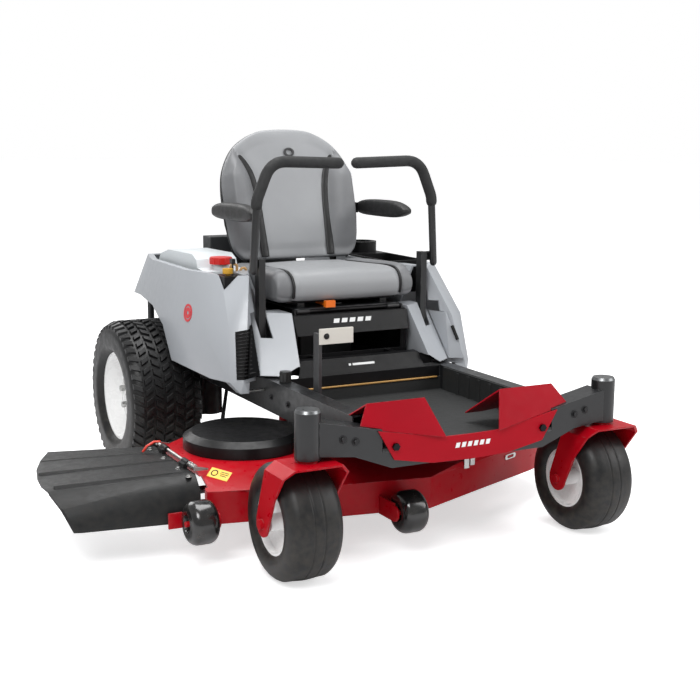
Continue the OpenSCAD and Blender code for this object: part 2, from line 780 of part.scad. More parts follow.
module caster_tyre(s) {
    color([0.08, 0.08, 0.08]) translate([s * pivot_x, caster_axle_y, caster_axle_z])
        rotate([0, s * 90, 0]) tyre(caster_tyre_d / 2, caster_bead_r, caster_tyre_w, 38, 9);
}

module caster_rim(s) {
    color("white") translate([s * pivot_x, caster_axle_y, caster_axle_z]) rotate([0, s * 90, 0])
        difference() {
            union() {
                for (m = [0, 1]) mirror([0, 0, m]) rim_shell(caster_bead_r, caster_tyre_w, 44, 24, 44, 20);
                cylinder(r = 24, h = 156, center = true);
            }
            cylinder(r = 9.5 + shaft_gap, h = 170, center = true);
        }
}

// Fork leg outline in (y, z)
fork_leg = [[-1412, 346], [-1336, 250], [caster_axle_y - 36, 160], [caster_axle_y + 36, 160],
    [caster_axle_y + 36, 176], [-1286, 346]];

// Bent plate of the fork in (x, z)
fork_section = [[-96, 120], [-90, 120], [-90, 318], [-67, 340], [67, 340], [90, 318], [90, 120],
    [96, 120], [96, 321], [70, 346], [-70, 346], [-96, 321]];

module caster_fork(s) {
    color("firebrick") translate([s * pivot_x, 0, 0]) {
        intersection() {
            along_y(-1420, caster_axle_y + 40) polygon(fork_section);
            along_x(-97, 97) {
                polygon([for (i = [len(fork_leg) - 1:-1:0]) fork_leg[i]]);
                translate([caster_axle_y, caster_axle_z]) circle(r = 36);
            }
        }
        translate([0, pivot_y, 346]) cylinder(r = 28, h = 6.8);
        translate([0, pivot_y, 352]) cylinder(r = 14 - shaft_gap, h = 120);
    }
    color("silver") translate([s * pivot_x, 0, 0]) {
        pin_x(-96, 96, caster_axle_y, caster_axle_z, 9.5);
        pin_x(96, 106, caster_axle_y, caster_axle_z, 14);
        pin_x(-106, -96, caster_axle_y, caster_axle_z, 14);
    }
}

// ---- control levers ----

module lever_base(s) {
    color([0.2, 0.2, 0.2]) mirror([s < 0 ? 1 : 0, 0, 0]) {
        difference() {
            union() {
                block([lever_x - 11, lever_pivot[0] - 16, lever_pivot[1]],
                    [lever_x + 11, lever_pivot[0] + 16, 800]);
                pin_x(lever_x - 13, lever_x + 13, lever_pivot[0], lever_pivot[1], 20);
            }
            pin_x(lever_x - 20, lever_x + 20, lever_pivot[0], lever_pivot[1], 9);
        }
        // Lug and pin that the lever swings outwards on
        block([lever_x + 8, -608, swing_at[1] - 15], [swing_at[0] + 12, -602, swing_at[1] + 15]);
        along_y(-615.5, -602) translate(swing_at) circle(r = 5);
    }
}

// Path of a control lever in (x, z), from its hinge to the inner end of its grip
lever_path = [[330, 764], [317, 985], [268, 1104], [33, 1097]];
lever_y = -627;
lever_bend = 60;
tube_sides = 16;
// The grip starts a little below the first bend
grip_start = lever_path[1] - 18 * unit(lever_path[1] - lever_path[0]);
grip_path = [grip_start, lever_path[1], lever_path[2], lever_path[3]];

// The path with its corners rounded, as a list of points
function round_path(p, bend, n = 5) = concat([p[0]], [for (i = [1:len(p) - 2])
    let (turn = turn_at(p, i), u = unit(p[i] - p[i - 1]), start = p[i] - u * cut_at(p, i, bend),
         centre = start + left_of(u) * bend * sign(turn), a0 = atan2(u[1], u[0]) - 90 * sign(turn))
    each arc(centre, bend, a0, a0 + turn, n)], [p[len(p) - 1]]);
function heading(p, i) = unit(p[min(i + 1, len(p) - 1)] - p[max(i - 1, 0)]);
// One ring of points round the path, in the plane across it
function ring_at(q, along, r, y0) = [for (j = [0:tube_sides - 1])
    let (a = 360 * j / tube_sides, n = left_of(along) * r * cos(a))
        [q[0] + n[0], y0 + r * sin(a), q[1] + n[1]]];

// A tube swept along a planar path: outer and inner walls, closed by flat ends
module swept_tube(p, r, bore, y0) {
    q = round_path(p, lever_bend);
    m = tube_sides;
    last = len(q) - 1;
    outer = [for (i = [0:last]) each ring_at(q[i], heading(q, i), r, y0)];
    inner = [for (i = [0:last]) each ring_at(q[i], heading(q, i), bore, y0)];
    k = len(outer);
    walls = [for (i = [0:last - 1]) for (j = [0:m - 1]) let (a = i * m + j, b = i * m + (j + 1) % m)
        each [[a, b, b + m, a + m], [k + a, k + a + m, k + b + m, k + b]]];
    ends = [for (j = [0:m - 1]) let (a = j, b = (j + 1) % m, c = last * m + j, d = last * m + (j + 1) % m)
        each [[a, k + a, k + b, b], [c, d, k + d, k + c]]];
    polyhedron(concat(outer, inner), concat(walls, ends));
}

module lever_arm(s) {
    color([0.14, 0.14, 0.14]) mirror([s < 0 ? 1 : 0, 0, 0]) {
        swept_tube(lever_path, 12, 9, lever_y);
        // Hinge plate
        along_y(-616, -610) difference() {
            union() {
                translate(swing_at) circle(r = 10);
                translate(swing_at - [0, 10]) square([14, 20]);
            }
            translate(swing_at) circle(r = 5 + shaft_gap);
        }
    }
}

module lever_grip(s) {
    color([0.06, 0.06, 0.06]) mirror([s < 0 ? 1 : 0, 0, 0])
        swept_tube(grip_path, 18, 12.05, lever_y);
}

// ---- seat ----

module seat_plate() {
    color([0.12, 0.12, 0.13]) {
        difference() {
            union() {
                block([-192, -640, 634], [192, -185, 638]);
                for (s = side) pin_x(s * 165 - 22, s * 165 + 22, seat_hinge[0], seat_hinge[1], 9);
            }
            pin_x(-200, 200, seat_hinge[0], seat_hinge[1], 5 + shaft_gap);
        }
        for (s = side) block([s * 152 - 12, -600, 638], [s * 152 + 12, -215, 650]);
    }
}

// Moves children from the backrest's own frame (x, thickness, height) to the machine
module on_back() {
    translate([0, -288, 738]) rotate([-back_lean, 0, 0]) children();
}

back_half = [[204, 28], [234, 66], [250, 160], [252, 270], [236, 352], [188, 428], [110, 476], [40, 487]];
back_outline = concat(back_half, mirrored_pts(back_half));
cushion_x = cushion_w / 2;
cushion_side = [[-596, 654.5], [-255, 654.5], [-255, 748], [-560, 756], [-625, 742], [-646, 706],
    [-636, 668]];

module seat_frame() {
    color([0.12, 0.12, 0.13]) {
        difference() {
            block([-200, -592, 650.4], [200, -150, 654.4]);
            block([-140, -480, 650], [140, -300, 655]);
        }
        translate([-75, -575, 641]) cylinder(r = 4, h = 10);
        on_back() along_y(62, 67) polygon(inset(back_outline, 8));
        // Brackets from the pan up to the back shell
        for (s = side) along_x(s * 170 - 4, s * 170 + 4)
            polygon([[-252, 654], [-213, 654], [-197, 700], [-172, 763], [-148, 883], [-135, 933],
                [-161.6, 933], [-216, 752], [-228, 703]]);
        // Arms that carry the armrests
        for (s = side) {
            along_x(min(s * 253.5, s * 258), max(s * 253.5, s * 258))
                polygon([[-223, 907], [-149, 907], [-149, 943], [-223, 943]]);
            block([min(s * 160, s * 258), -159, 913], [max(s * 160, s * 258), -149, 941]);
            pin_x(min(s * 257, s * 292), max(s * 257, s * 292), pad_pivot[0], pad_pivot[1], 8);
        }
    }
}

module seat_cushion() {
    color("darkgray") along_x(-cushion_x, cushion_x) polygon(cushion_side);
}

module seat_backrest() {
    color("darkgray") on_back() along_y(0, 60) polygon(back_outline);
}

pad_side = [[-536, 912], [-440, 903], [-240, 900], [-195, 903], [-184, 925], [-195, 950],
    [-300, 960], [-440, 962], [-510, 952], [-546, 930]];

module armrest(s) {
    color([0.08, 0.08, 0.08]) difference() {
        along_x(min(s * 259, s * 300), max(s * 259, s * 300)) polygon(pad_side);
        pin_x(min(s * 250, s * 293), max(s * 250, s * 293), pad_pivot[0], pad_pivot[1], 8 + shaft_gap);
    }
}

module slide_latch() {
    color("orangered") translate([-75, -575, 0]) difference() {
        union() {
            translate([0, 0, 642]) cylinder(r = 10, h = 7);
            block([-6, -72, 642], [6, 0, 649]);
            block([-17, -86, 639.5], [17, -70, 661]);
        }
        translate([0, 0, 640]) cylinder(r = 4 + shaft_gap, h = 12);
    }
}

module lift_pedal() {
    color("gray") difference() {
        union() {
            block([-271, pedal_pivot[0] - 18, pedal_pivot[1]], [-261, pedal_pivot[0] + 18, 612]);
            pin_x(-275, -258, pedal_pivot[0], pedal_pivot[1], 18);
        }
        pin_x(-280, -250, pedal_pivot[0], pedal_pivot[1], 8 + shaft_gap);
    }
    color("ivory") block([-271, pedal_pivot[0] - 26, 582], [-161, pedal_pivot[0] - 17, 628]);
}

module height_knob() {
    color("black") translate([-301, -800, rail_top + 0.5]) {
        cylinder(r = 17, h = 34);
        for (i = [0:9]) rotate([0, 0, i * 36]) translate([16, 0, 0]) cylinder(r = 2.5, h = 30, $fn = 16);
    }
}

module placed() {
    translate([-machine_x, -machine_y, 0]) children();
}

placed() frame_rails();
placed() front_beam();
placed() frame_fasteners();
placed() front_band();
placed() footrests();
placed() floor_pan();
placed() rubber_mat();
placed() engine_deck();
placed() seat_pedestal();
placed() post_covers();
placed() side_vents();
placed() rear_pods();
placed() fuel_tank();
placed() side_trays();
placed() battery();
placed() engine_block();
placed() blower_housing();
placed() air_filter_cover();
placed() muffler();
placed() transaxles();
placed() fuel_hoses();
placed() deck_shell();
placed() belt_covers();
placed() spindle_housings();
placed() deck_belt();
placed() chute_hinge();
placed() discharge_chute();
placed() blade_centre();
placed() blade_left();
placed() blade_right();
placed() roller_front();
placed() roller_right();
placed() caster_fork(1);  // caster_fork_left
placed() caster_fork(-1);  // caster_fork_right
placed() caster_tyre(1);  // caster_tyre_left
placed() caster_tyre(-1);  // caster_tyre_right
placed() caster_rim(1);  // caster_rim_left
placed() caster_rim(-1);  // caster_rim_right
placed() rear_tyre(1);  // rear_tyre_left
placed() rear_tyre(-1);  // rear_tyre_right
placed() rear_rim(1);  // rear_rim_left
placed() rear_rim(-1);  // rear_rim_right
placed() lever_base(1);  // lever_base_left
placed() lever_base(-1);  // lever_base_right
placed() lever_arm(1);  // lever_arm_left
placed() lever_arm(-1);  // lever_arm_right
placed() lever_grip(1);  // lever_grip_left
placed() lever_grip(-1);  // lever_grip_right
placed() seat_plate();
placed() seat_frame();
placed() seat_cushion();
placed() seat_backrest();
placed() armrest(1);  // armrest_left
placed() armrest(-1);  // armrest_right
placed() slide_latch();
placed() lift_pedal();
placed() fuel_cap();
placed() pto_knob();
placed() throttle_lever();
placed() height_knob();
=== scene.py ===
"""Looks of the zero turn mower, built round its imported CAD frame."""
import json
import math
import random

import bpy
import numpy as np
from mathutils import Matrix, Vector


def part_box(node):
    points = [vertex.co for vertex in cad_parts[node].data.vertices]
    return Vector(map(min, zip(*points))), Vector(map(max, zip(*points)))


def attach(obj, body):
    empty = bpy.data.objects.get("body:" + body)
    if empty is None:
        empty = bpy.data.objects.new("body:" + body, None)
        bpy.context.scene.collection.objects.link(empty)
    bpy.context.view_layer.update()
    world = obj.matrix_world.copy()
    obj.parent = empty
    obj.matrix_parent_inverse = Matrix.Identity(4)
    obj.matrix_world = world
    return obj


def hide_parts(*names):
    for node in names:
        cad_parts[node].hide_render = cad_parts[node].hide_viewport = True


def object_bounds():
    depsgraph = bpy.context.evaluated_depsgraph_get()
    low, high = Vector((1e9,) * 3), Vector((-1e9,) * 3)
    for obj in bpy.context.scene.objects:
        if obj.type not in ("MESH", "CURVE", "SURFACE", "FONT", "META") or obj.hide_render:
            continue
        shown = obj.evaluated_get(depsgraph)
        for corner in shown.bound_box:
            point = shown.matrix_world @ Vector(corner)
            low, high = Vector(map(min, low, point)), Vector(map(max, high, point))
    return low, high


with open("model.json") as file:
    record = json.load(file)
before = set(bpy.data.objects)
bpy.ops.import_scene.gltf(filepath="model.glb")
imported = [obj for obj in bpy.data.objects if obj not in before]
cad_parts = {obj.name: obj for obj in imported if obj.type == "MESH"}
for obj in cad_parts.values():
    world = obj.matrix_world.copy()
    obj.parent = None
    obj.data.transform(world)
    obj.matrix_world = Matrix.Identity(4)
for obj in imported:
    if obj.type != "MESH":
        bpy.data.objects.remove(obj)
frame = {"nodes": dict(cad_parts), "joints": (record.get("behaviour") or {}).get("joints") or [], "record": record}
first_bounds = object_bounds()
random.seed(7)

JOINTS = {j["name"]: j for j in frame["joints"]}
WHEEL_L = JOINTS["drive_wheel_left_roll"]["pos_m"]
WHEEL_R = JOINTS["drive_wheel_right_roll"]["pos_m"]
ORIGIN = Vector(((WHEEL_L[0] + WHEEL_R[0]) / 2, WHEEL_L[1], 0))
SIDES = (("left", 1), ("right", -1))


def M(x, y, z):
    """A point of the machine (mm from the rear axle's middle, on the ground) in the row frame."""
    return ORIGIN + Vector((x, y, z)) / 1000


# ---------------------------------------------------------------- materials

def node(tree, kind, inputs=None, **attrs):
    n = tree.nodes.new(kind)
    for k, v in attrs.items():
        setattr(n, k, v)
    for k, v in (inputs or {}).items():
        if hasattr(v, "is_linked"):
            tree.links.new(v, n.inputs[k])
        else:
            n.inputs[k].default_value = v
    return n


def ramp(tree, value, a, b, lo, hi):
    return node(tree, "ShaderNodeMapRange", {0: value, 1: a, 2: b, 3: lo, 4: hi}).outputs[0]


def mix(tree, fac, a, b):
    n = node(tree, "ShaderNodeMix", data_type="RGBA")
    for sock, v in ((0, fac), (6, a), (7, b)):
        if hasattr(v, "is_linked"):
            tree.links.new(v, n.inputs[sock])
        else:
            n.inputs[sock].default_value = v
    return n.outputs[2]


def rgba(c, k=1.0):
    return tuple(min(1.0, x * k) for x in c) + (1.0,)


def material(name, color, rough, metal=0.0, coat=0.0, bevel=0.0015, grain=(900, 0.08), mottle=(7, 0.08),
             wear=0.0, wear_color=(0.45, 0.45, 0.46), dust=0.0, pattern=None, stretch=None, masks=(), spec=0.5,
             transmission=0.0, vary=0.08):
    """A procedural finish: mottled colour, uneven roughness, fine grain, rounded and worn edges, dust low down."""
    m = bpy.data.materials.new(name)
    m.use_nodes = True
    t = m.node_tree
    bsdf = t.nodes["Principled BSDF"]
    where = node(t, "ShaderNodeTexCoord").outputs["Object"]
    if stretch:
        where_g = node(t, "ShaderNodeMapping", {0: where, 3: stretch}).outputs[0]
    else:
        where_g = where
    big = node(t, "ShaderNodeTexNoise", {0: where, 2: mottle[0], 3: 5.0}).outputs[0]
    mid = node(t, "ShaderNodeTexNoise", {0: where_g, 2: 46.0, 3: 6.0}).outputs[0]
    tone = mix(t, ramp(t, big, 0.3, 0.7, 0.0, 1.0), rgba(color, 1 - mottle[1]), rgba(color, 1 + mottle[1]))
    for low, high, axis, other in masks:
        xyz = node(t, "ShaderNodeSeparateXYZ", {0: where}).outputs[axis]
        inside = node(t, "ShaderNodeMath", {0: xyz, 1: low}, operation="GREATER_THAN").outputs[0]
        below = node(t, "ShaderNodeMath", {0: xyz, 1: high}, operation="LESS_THAN").outputs[0]
        both = node(t, "ShaderNodeMath", {0: inside, 1: below}, operation="MULTIPLY").outputs[0]
        tone = mix(t, both, tone, rgba(other))
    normal = None
    if bevel:
        normal = node(t, "ShaderNodeBevel", {0: bevel}, samples=4).outputs[0]
    if wear and normal:
        flat = node(t, "ShaderNodeNewGeometry").outputs["Normal"]
        dot = node(t, "ShaderNodeVectorMath", {0: normal, 1: flat}, operation="DOT_PRODUCT").outputs["Value"]
        edge = ramp(t, dot, 0.995, 0.93, 0.0, 1.0)
        patch = ramp(t, mid, 0.45, 0.6, 0.0, wear)
        amount = node(t, "ShaderNodeMath", {0: edge, 1: patch}, operation="MULTIPLY").outputs[0]
        tone = mix(t, amount, tone, rgba(wear_color))
    if dust:
        z = node(t, "ShaderNodeSeparateXYZ", {0: where}).outputs[2]
        low = ramp(t, z, 0.0, 0.35, 1.0, 0.0)
        patch = ramp(t, mid, 0.35, 0.75, 0.0, dust)
        amount = node(t, "ShaderNodeMath", {0: low, 1: patch}, operation="MULTIPLY").outputs[0]
        tone = mix(t, amount, tone, (0.20, 0.17, 0.13, 1))
    t.links.new(tone, bsdf.inputs["Base Color"])
    t.links.new(ramp(t, mid, 0.3, 0.7, max(0.03, rough - vary), min(1.0, rough + vary)), bsdf.inputs["Roughness"])
    bsdf.inputs["Metallic"].default_value = metal
    bsdf.inputs["Coat Weight"].default_value = coat
    bsdf.inputs["Coat Roughness"].default_value = 0.08
    bsdf.inputs["Specular IOR Level"].default_value = spec
    bsdf.inputs["Transmission Weight"].default_value = transmission
    if pattern == "vinyl":
        height = node(t, "ShaderNodeTexVoronoi", {0: where, 2: grain[0]}, feature="DISTANCE_TO_EDGE").outputs[0]
    elif pattern == "weave":
        a = node(t, "ShaderNodeTexWave", {0: where, 1: grain[0], 2: 0.4}, bands_direction="X").outputs[1]
        b = node(t, "ShaderNodeTexWave", {0: where, 1: grain[0], 2: 0.4}, bands_direction="Z").outputs[1]
        height = node(t, "ShaderNodeMath", {0: a, 1: b}, operation="MAXIMUM").outputs[0]
    else:
        height = node(t, "ShaderNodeTexNoise", {0: where_g, 2: grain[0], 3: 3.0}).outputs[0]
    b = node(t, "ShaderNodeBump")
    b.inputs["Strength"].default_value = grain[1]
    b.inputs["Distance"].default_value = 0.0008
    t.links.new(height, b.inputs["Height"])
    if normal:
        t.links.new(normal, b.inputs["Normal"])
    t.links.new(b.outputs[0], bsdf.inputs["Normal"])
    return m


CAP_DARK, BOLT_BLACK, PAD_CREAM = (0.20, 0.205, 0.21), (0.02, 0.02, 0.022), (0.66, 0.64, 0.58)
POD = (0.36, 0.378, 0.402)
PAD_Y = (M(0, -977, 0).y, M(0, -968.2, 0).y)
MAT = {
    "frame_paint": material("frame_paint", (0.0095, 0.010, 0.011), 0.36, coat=0.12, wear=0.3, dust=0.2,
                            grain=(700, 0.12)),
    "zinc_hardware": material("zinc_hardware", (0.50, 0.50, 0.48), 0.34, metal=1, bevel=0.001,
                              masks=((0.47, 1.0, 2, CAP_DARK), (0.35, 0.40, 2, BOLT_BLACK))),
    "band_red": material("band_red", (0.34, 0.002, 0.010), 0.38, spec=0.12, wear=0.15, grain=(700, 0.05)),
    "deck_red": material("deck_red", (0.40, 0.0012, 0.008), 0.34, spec=0.14, coat=0.03, wear=0.2, dust=0.12, bevel=0.003,
                         grain=(500, 0.06)),
    "footrest_red": material("footrest_red", (0.275, 0.0010, 0.008), 0.36, spec=0.08, wear=0.15, bevel=0.002,
                             grain=(600, 0.05)),
    "mat_rubber": material("mat_rubber", (0.013, 0.014, 0.014), 0.62, grain=(500, 0.5), dust=0.1),
    "panel_black": material("panel_black", (0.006, 0.006, 0.0065), 0.36, spec=0.25, bevel=0.002, grain=(1500, 0.2)),
    "pod_grey": material("pod_grey", POD, 0.36, coat=0.15, bevel=0.003, grain=(1300, 0.05), mottle=(4, 0.02)),
    "vent_black": material("vent_black", (0.004, 0.004, 0.0045), 0.6, spec=0.08,
                           masks=((M(200, 0, 0).x, 9, 0, POD),)),
    "tank_plastic": material("tank_plastic", (0.66, 0.70, 0.72), 0.38, bevel=0.003, transmission=0.1,
                             mottle=(5, 0.03)),
    "battery_case": material("battery_case", (0.010, 0.010, 0.011), 0.5),
    "engine_metal": material("engine_metal", (0.035, 0.035, 0.037), 0.55, metal=0.7, grain=(260, 0.8), dust=0.3),
    "engine_plastic": material("engine_plastic", (0.009, 0.009, 0.010), 0.4, bevel=0.006, grain=(1200, 0.3)),
    "filter_grey": material("filter_grey", (0.028, 0.030, 0.032), 0.55, bevel=0.008, grain=(900, 0.3)),
    "muffler_steel": material("muffler_steel", (0.12, 0.105, 0.095), 0.45, metal=0.9, mottle=(9, 0.4)),
    "cast_black": material("cast_black", (0.010, 0.010, 0.011), 0.5, grain=(300, 0.7), dust=0.3),
    "hose_tan": material("hose_tan", (0.42, 0.24, 0.09), 0.5, bevel=0),
    "belt_rubber": material("belt_rubber", (0.010, 0.010, 0.010), 0.6),
    "spindle_cast": material("spindle_cast", (0.16, 0.16, 0.17), 0.5, metal=0.8, grain=(300, 0.7)),
    "blade_steel": material("blade_steel", (0.25, 0.26, 0.28), 0.35, metal=1, stretch=(1, 14, 1), dust=0.5),
    "chute_black": material("chute_black", (0.0085, 0.009, 0.0095), 0.44, spec=0.3, bevel=0.002, grain=(900, 0.3), dust=0.08),
    "roller_black": material("roller_black", (0.006, 0.006, 0.0065), 0.2, coat=0.4, grain=(500, 0.1), dust=0.1),
    "tyre_black": material("tyre_black", (0.0075, 0.0075, 0.008), 0.44, spec=0.38, bevel=0.002, grain=(420, 0.3), dust=0.2),
    "rim_white": material("rim_white", (0.90, 0.90, 0.895), 0.28, coat=0.4, bevel=0.003, dust=0.08,
                          mottle=(6, 0.02)),
    "lever_black": material("lever_black", (0.011, 0.0115, 0.012), 0.36, coat=0.15, wear=0.25),
    "grip_foam": material("grip_foam", (0.013, 0.0135, 0.014), 0.7, bevel=0, grain=(1400, 0.7)),
    "seat_grey": material("seat_grey", (0.27, 0.277, 0.287), 0.46, bevel=0, pattern="vinyl", grain=(620, 0.25),
                          mottle=(5, 0.05)),
    "armrest_black": material("armrest_black", (0.009, 0.009, 0.0095), 0.5, bevel=0, pattern="vinyl",
                              grain=(700, 0.35)),
    "latch_orange": material("latch_orange", (0.80, 0.16, 0.01), 0.35),
    "pedal_grey": material("pedal_grey", (0.035, 0.036, 0.038), 0.38, coat=0.15, wear=0.3,
                           masks=((PAD_Y[0], PAD_Y[1], 1, PAD_CREAM),)),
    "cap_red": material("cap_red", (0.60, 0.01, 0.008), 0.35, bevel=0.002),
    "knob_yellow": material("knob_yellow", (0.60, 0.32, 0.02), 0.35, bevel=0.003),
    "knob_black": material("knob_black", (0.010, 0.010, 0.010), 0.4, bevel=0.002),
}
EXTRA = {
    "bolster_grey": material("bolster_grey", (0.16, 0.164, 0.171), 0.5, bevel=0, pattern="vinyl", grain=(620, 0.35)),
    "piping": material("piping", (0.005, 0.005, 0.0055), 0.42, bevel=0, pattern="vinyl", grain=(900, 0.3)),
    "back_shell": material("back_shell", (0.03, 0.03, 0.032), 0.5, bevel=0, pattern="vinyl", grain=(500, 0.3)),
    "decal_yellow": material("decal_yellow", (0.80, 0.50, 0.03), 0.4, bevel=0),
    "decal_white": material("decal_white", (0.75, 0.76, 0.76), 0.4, bevel=0),
    "decal_black": material("decal_black", (0.006, 0.006, 0.006), 0.5, spec=0.12, bevel=0),
    "decal_red": material("decal_red", (0.60, 0.02, 0.03), 0.4, bevel=0),
    "red_plastic": material("red_plastic", (0.62, 0.03, 0.01), 0.35, bevel=0.001),
    "black_bolt": material("black_bolt", (0.010, 0.010, 0.011), 0.4, metal=0.3, bevel=0.0008),
    "tan_trim": material("tan_trim", (0.40, 0.22, 0.06), 0.45, bevel=0.001),
    "steel": material("steel", (0.50, 0.50, 0.49), 0.3, metal=1, bevel=0.0008),
}


def smooth_group():
    """Joins split vertices, shades smooth and keeps edges over 32 degrees sharp."""
    g = bpy.data.node_groups.new("smooth_by_angle", "GeometryNodeTree")
    g.interface.new_socket("Geometry", in_out="INPUT", socket_type="NodeSocketGeometry")
    g.interface.new_socket("Geometry", in_out="OUTPUT", socket_type="NodeSocketGeometry")
    start, end = g.nodes.new("NodeGroupInput"), g.nodes.new("NodeGroupOutput")
    merge = g.nodes.new("GeometryNodeMergeByDistance")
    merge.inputs["Distance"].default_value = 1e-5
    angle = g.nodes.new("GeometryNodeInputMeshEdgeAngle")
    less = node(g, "FunctionNodeCompare", operation="GREATER_THAN")
    g.links.new(angle.outputs[0], less.inputs[0])
    less.inputs[1].default_value = math.radians(32)
    faces = node(g, "GeometryNodeSetShadeSmooth", domain="FACE")
    faces.inputs["Shade Smooth"].default_value = True
    edges = node(g, "GeometryNodeSetShadeSmooth", domain="EDGE")
    edges.inputs["Shade Smooth"].default_value = False
    g.links.new(start.outputs[0], merge.inputs[0])
    g.links.new(merge.outputs[0], faces.inputs[0])
    g.links.new(faces.outputs[0], edges.inputs[0])
    g.links.new(less.outputs[0], edges.inputs["Selection"])
    g.links.new(edges.outputs[0], end.inputs[0])
    return g


SMOOTH = smooth_group()
SLOT = {s["node"]: s["material_slot"] for s in frame["record"]["subparts"]}
for name, o in frame["nodes"].items():
    if "custom_normal" in o.data.attributes:
        o.data.attributes.remove(o.data.attributes["custom_normal"])
    o.data.materials.clear()
    o.data.materials.append(MAT[SLOT[name]])
    o.modifiers.new("smooth", "NODES").node_group = SMOOTH


# ---------------------------------------------------------------- mesh tools

def piece(name, verts, faces, mat, body, smooth=True, mats=None, index=None):
    """A mesh in the row frame that rides on a CAD body."""
    me = bpy.data.meshes.new(name)
    me.from_pydata([tuple(v) for v in verts], [], [tuple(f) for f in faces])
    me.validate()
    for m in mats or [mat]:
        me.materials.append(m)
    if index is not None:
        me.polygons.foreach_set("material_index", index)
    me.polygons.foreach_set("use_smooth", [smooth] * len(me.polygons))
    me.update()
    o = bpy.data.objects.new(name, me)
    bpy.context.scene.collection.objects.link(o)
    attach(o, body)
    return o


def sharp(o, width=0.0012, segments=2, angle=35):
    b = o.modifiers.new("edge", "BEVEL")
    b.width, b.segments, b.limit_method, b.angle_limit = width, segments, "ANGLE", math.radians(angle)
    b.harden_normals = True
    return o


class Build:
    """Collects vertices and faces of many small shapes into one piece."""

    def __init__(self):
        self.v, self.f = [], []

    def add(self, verts, faces):
        k = len(self.v)
        self.v += [Vector(p) for p in verts]
        self.f += [[i + k for i in f] for f in faces]

    def box(self, a, b):
        x, y, z = zip(a, b)
        v = [(x[i], y[j], z[k]) for i in (0, 1) for j in (0, 1) for k in (0, 1)]
        self.add(v, [(0, 1, 3, 2), (4, 6, 7, 5), (0, 4, 5, 1), (2, 3, 7, 6), (0, 2, 6, 4), (1, 5, 7, 3)])

    def prism(self, base, normal, r, h, sides, chamfer=0.0, twist=0.0):
        """A round or hexagonal stud standing on base, with a chamfered top."""
        n = Vector(normal).normalized()
        a = n.orthogonal().normalized()
        b = n.cross(a)
        rings = [(r, 0), (r, h - chamfer), (r - chamfer, h)] if chamfer else [(r, 0), (r, h)]
        v = [Vector(base) + n * z + (a * math.cos(t) + b * math.sin(t)) * q for q, z in rings
             for t in [twist + 2 * math.pi * i / sides for i in range(sides)]]
        f = [(k * sides + i, k * sides + (i + 1) % sides, (k + 1) * sides + (i + 1) % sides, (k + 1) * sides + i)
             for k in range(len(rings) - 1) for i in range(sides)]
        self.add(v, f + [list(range(sides))[::-1], [(len(rings) - 1) * sides + i for i in range(sides)]])

    def bolt(self, base, normal, r):
        """A washer and a hexagon head."""
        n = Vector(normal).normalized()
        self.prism(base, n, r * 1.5, r * 0.25, 24, r * 0.08)
        self.prism(Vector(base) + n * r * 0.25, n, r, r * 0.7, 6, r * 0.12)

    def tube(self, path, r, sides=14, flat=1.0, ups=None, round_ends=True):
        """A swept tube; flat below 1 presses it to an oval against the direction in ups."""
        pts = [Vector(p) for p in path]
        n = len(pts)
        rows, radii = [], [r] * n
        if round_ends:
            d0, d1 = (pts[0] - pts[1]).normalized(), (pts[-1] - pts[-2]).normalized()
            head = [(pts[0] + d0 * r * s, r * c) for s, c in ((0.98, 0.2), (0.85, 0.53), (0.5, 0.87))]
            tail = [(pts[-1] + d1 * r * s, r * c) for s, c in ((0.5, 0.87), (0.85, 0.53), (0.98, 0.2))]
            ups = [ups[0]] * 3 + list(ups) + [ups[-1]] * 3 if ups else None
            pts = [p for p, _ in head] + pts + [p for p, _ in tail]
            radii = [q for _, q in head] + radii + [q for _, q in tail]
            n = len(pts)
        up = None
        for i in range(n):
            t = (pts[min(i + 1, n - 1)] - pts[max(i - 1, 0)]).normalized()
            if ups:
                up = Vector(ups[i])
            elif up is None:
                up = t.orthogonal()
            up = (up - t * up.dot(t)).normalized()
            side = t.cross(up)
            rows.append([pts[i] + (side * math.cos(a) + up * math.sin(a) * flat) * radii[i]
                         for a in [2 * math.pi * j / sides for j in range(sides)]])
        self.loft(rows)

    def loft(self, rows, closed=True):
        """Faces between closed rows of points, with flat ends."""
        m = len(rows[0])
        v = [p for row in rows for p in row]
        f = [(i * m + j, (i + 1) * m + j, (i + 1) * m + (j + 1) % m, i * m + (j + 1) % m)
             for i in range(len(rows) - 1) for j in range(m)]
        self.add(v, f + [list(range(m)), [(len(rows) - 1) * m + j for j in range(m)][::-1]])

    def make(self, name, mat, body, smooth=False, edge=0.0):
        o = piece(name, self.v, self.f, mat, body, smooth)
        return sharp(o, edge) if edge else o


def lathe(name, profile, centre, mat, body, n=96):
    """A solid of revolution about X from a closed profile of (radius, sideways) points."""
    c = Vector(centre)
    m = len(profile)
    v = [c + Vector((w, r * math.sin(a), r * math.cos(a))) for a in [2 * math.pi * i / n for i in range(n)]
         for r, w in profile]
    f = [(i * m + j, i * m + (j + 1) % m, (i + 1) % n * m + (j + 1) % m, (i + 1) % n * m + j)
         for i in range(n) for j in range(m)]
    o = piece(name, v, f, mat, body)
    return o


def curve_points(pts, per=8, closed=False):
    """Points along a Catmull-Rom curve through pts."""
    p = [np.array(q, float) for q in pts]
    n = len(p)
    out = []
    for i in range(n if closed else n - 1):
        a, b, c, d = (p[(i + k) % n] if closed else p[min(max(i + k, 0), n - 1)] for k in (-1, 0, 1, 2))
        for s in range(per):
            t = s / per
            out.append(0.5 * (2 * b + (c - a) * t + (2 * a - 5 * b + 4 * c - d) * t ** 2
                              + (3 * b - a - 3 * c + d) * t ** 3))
    if not closed:
        out.append(p[-1])
    return out


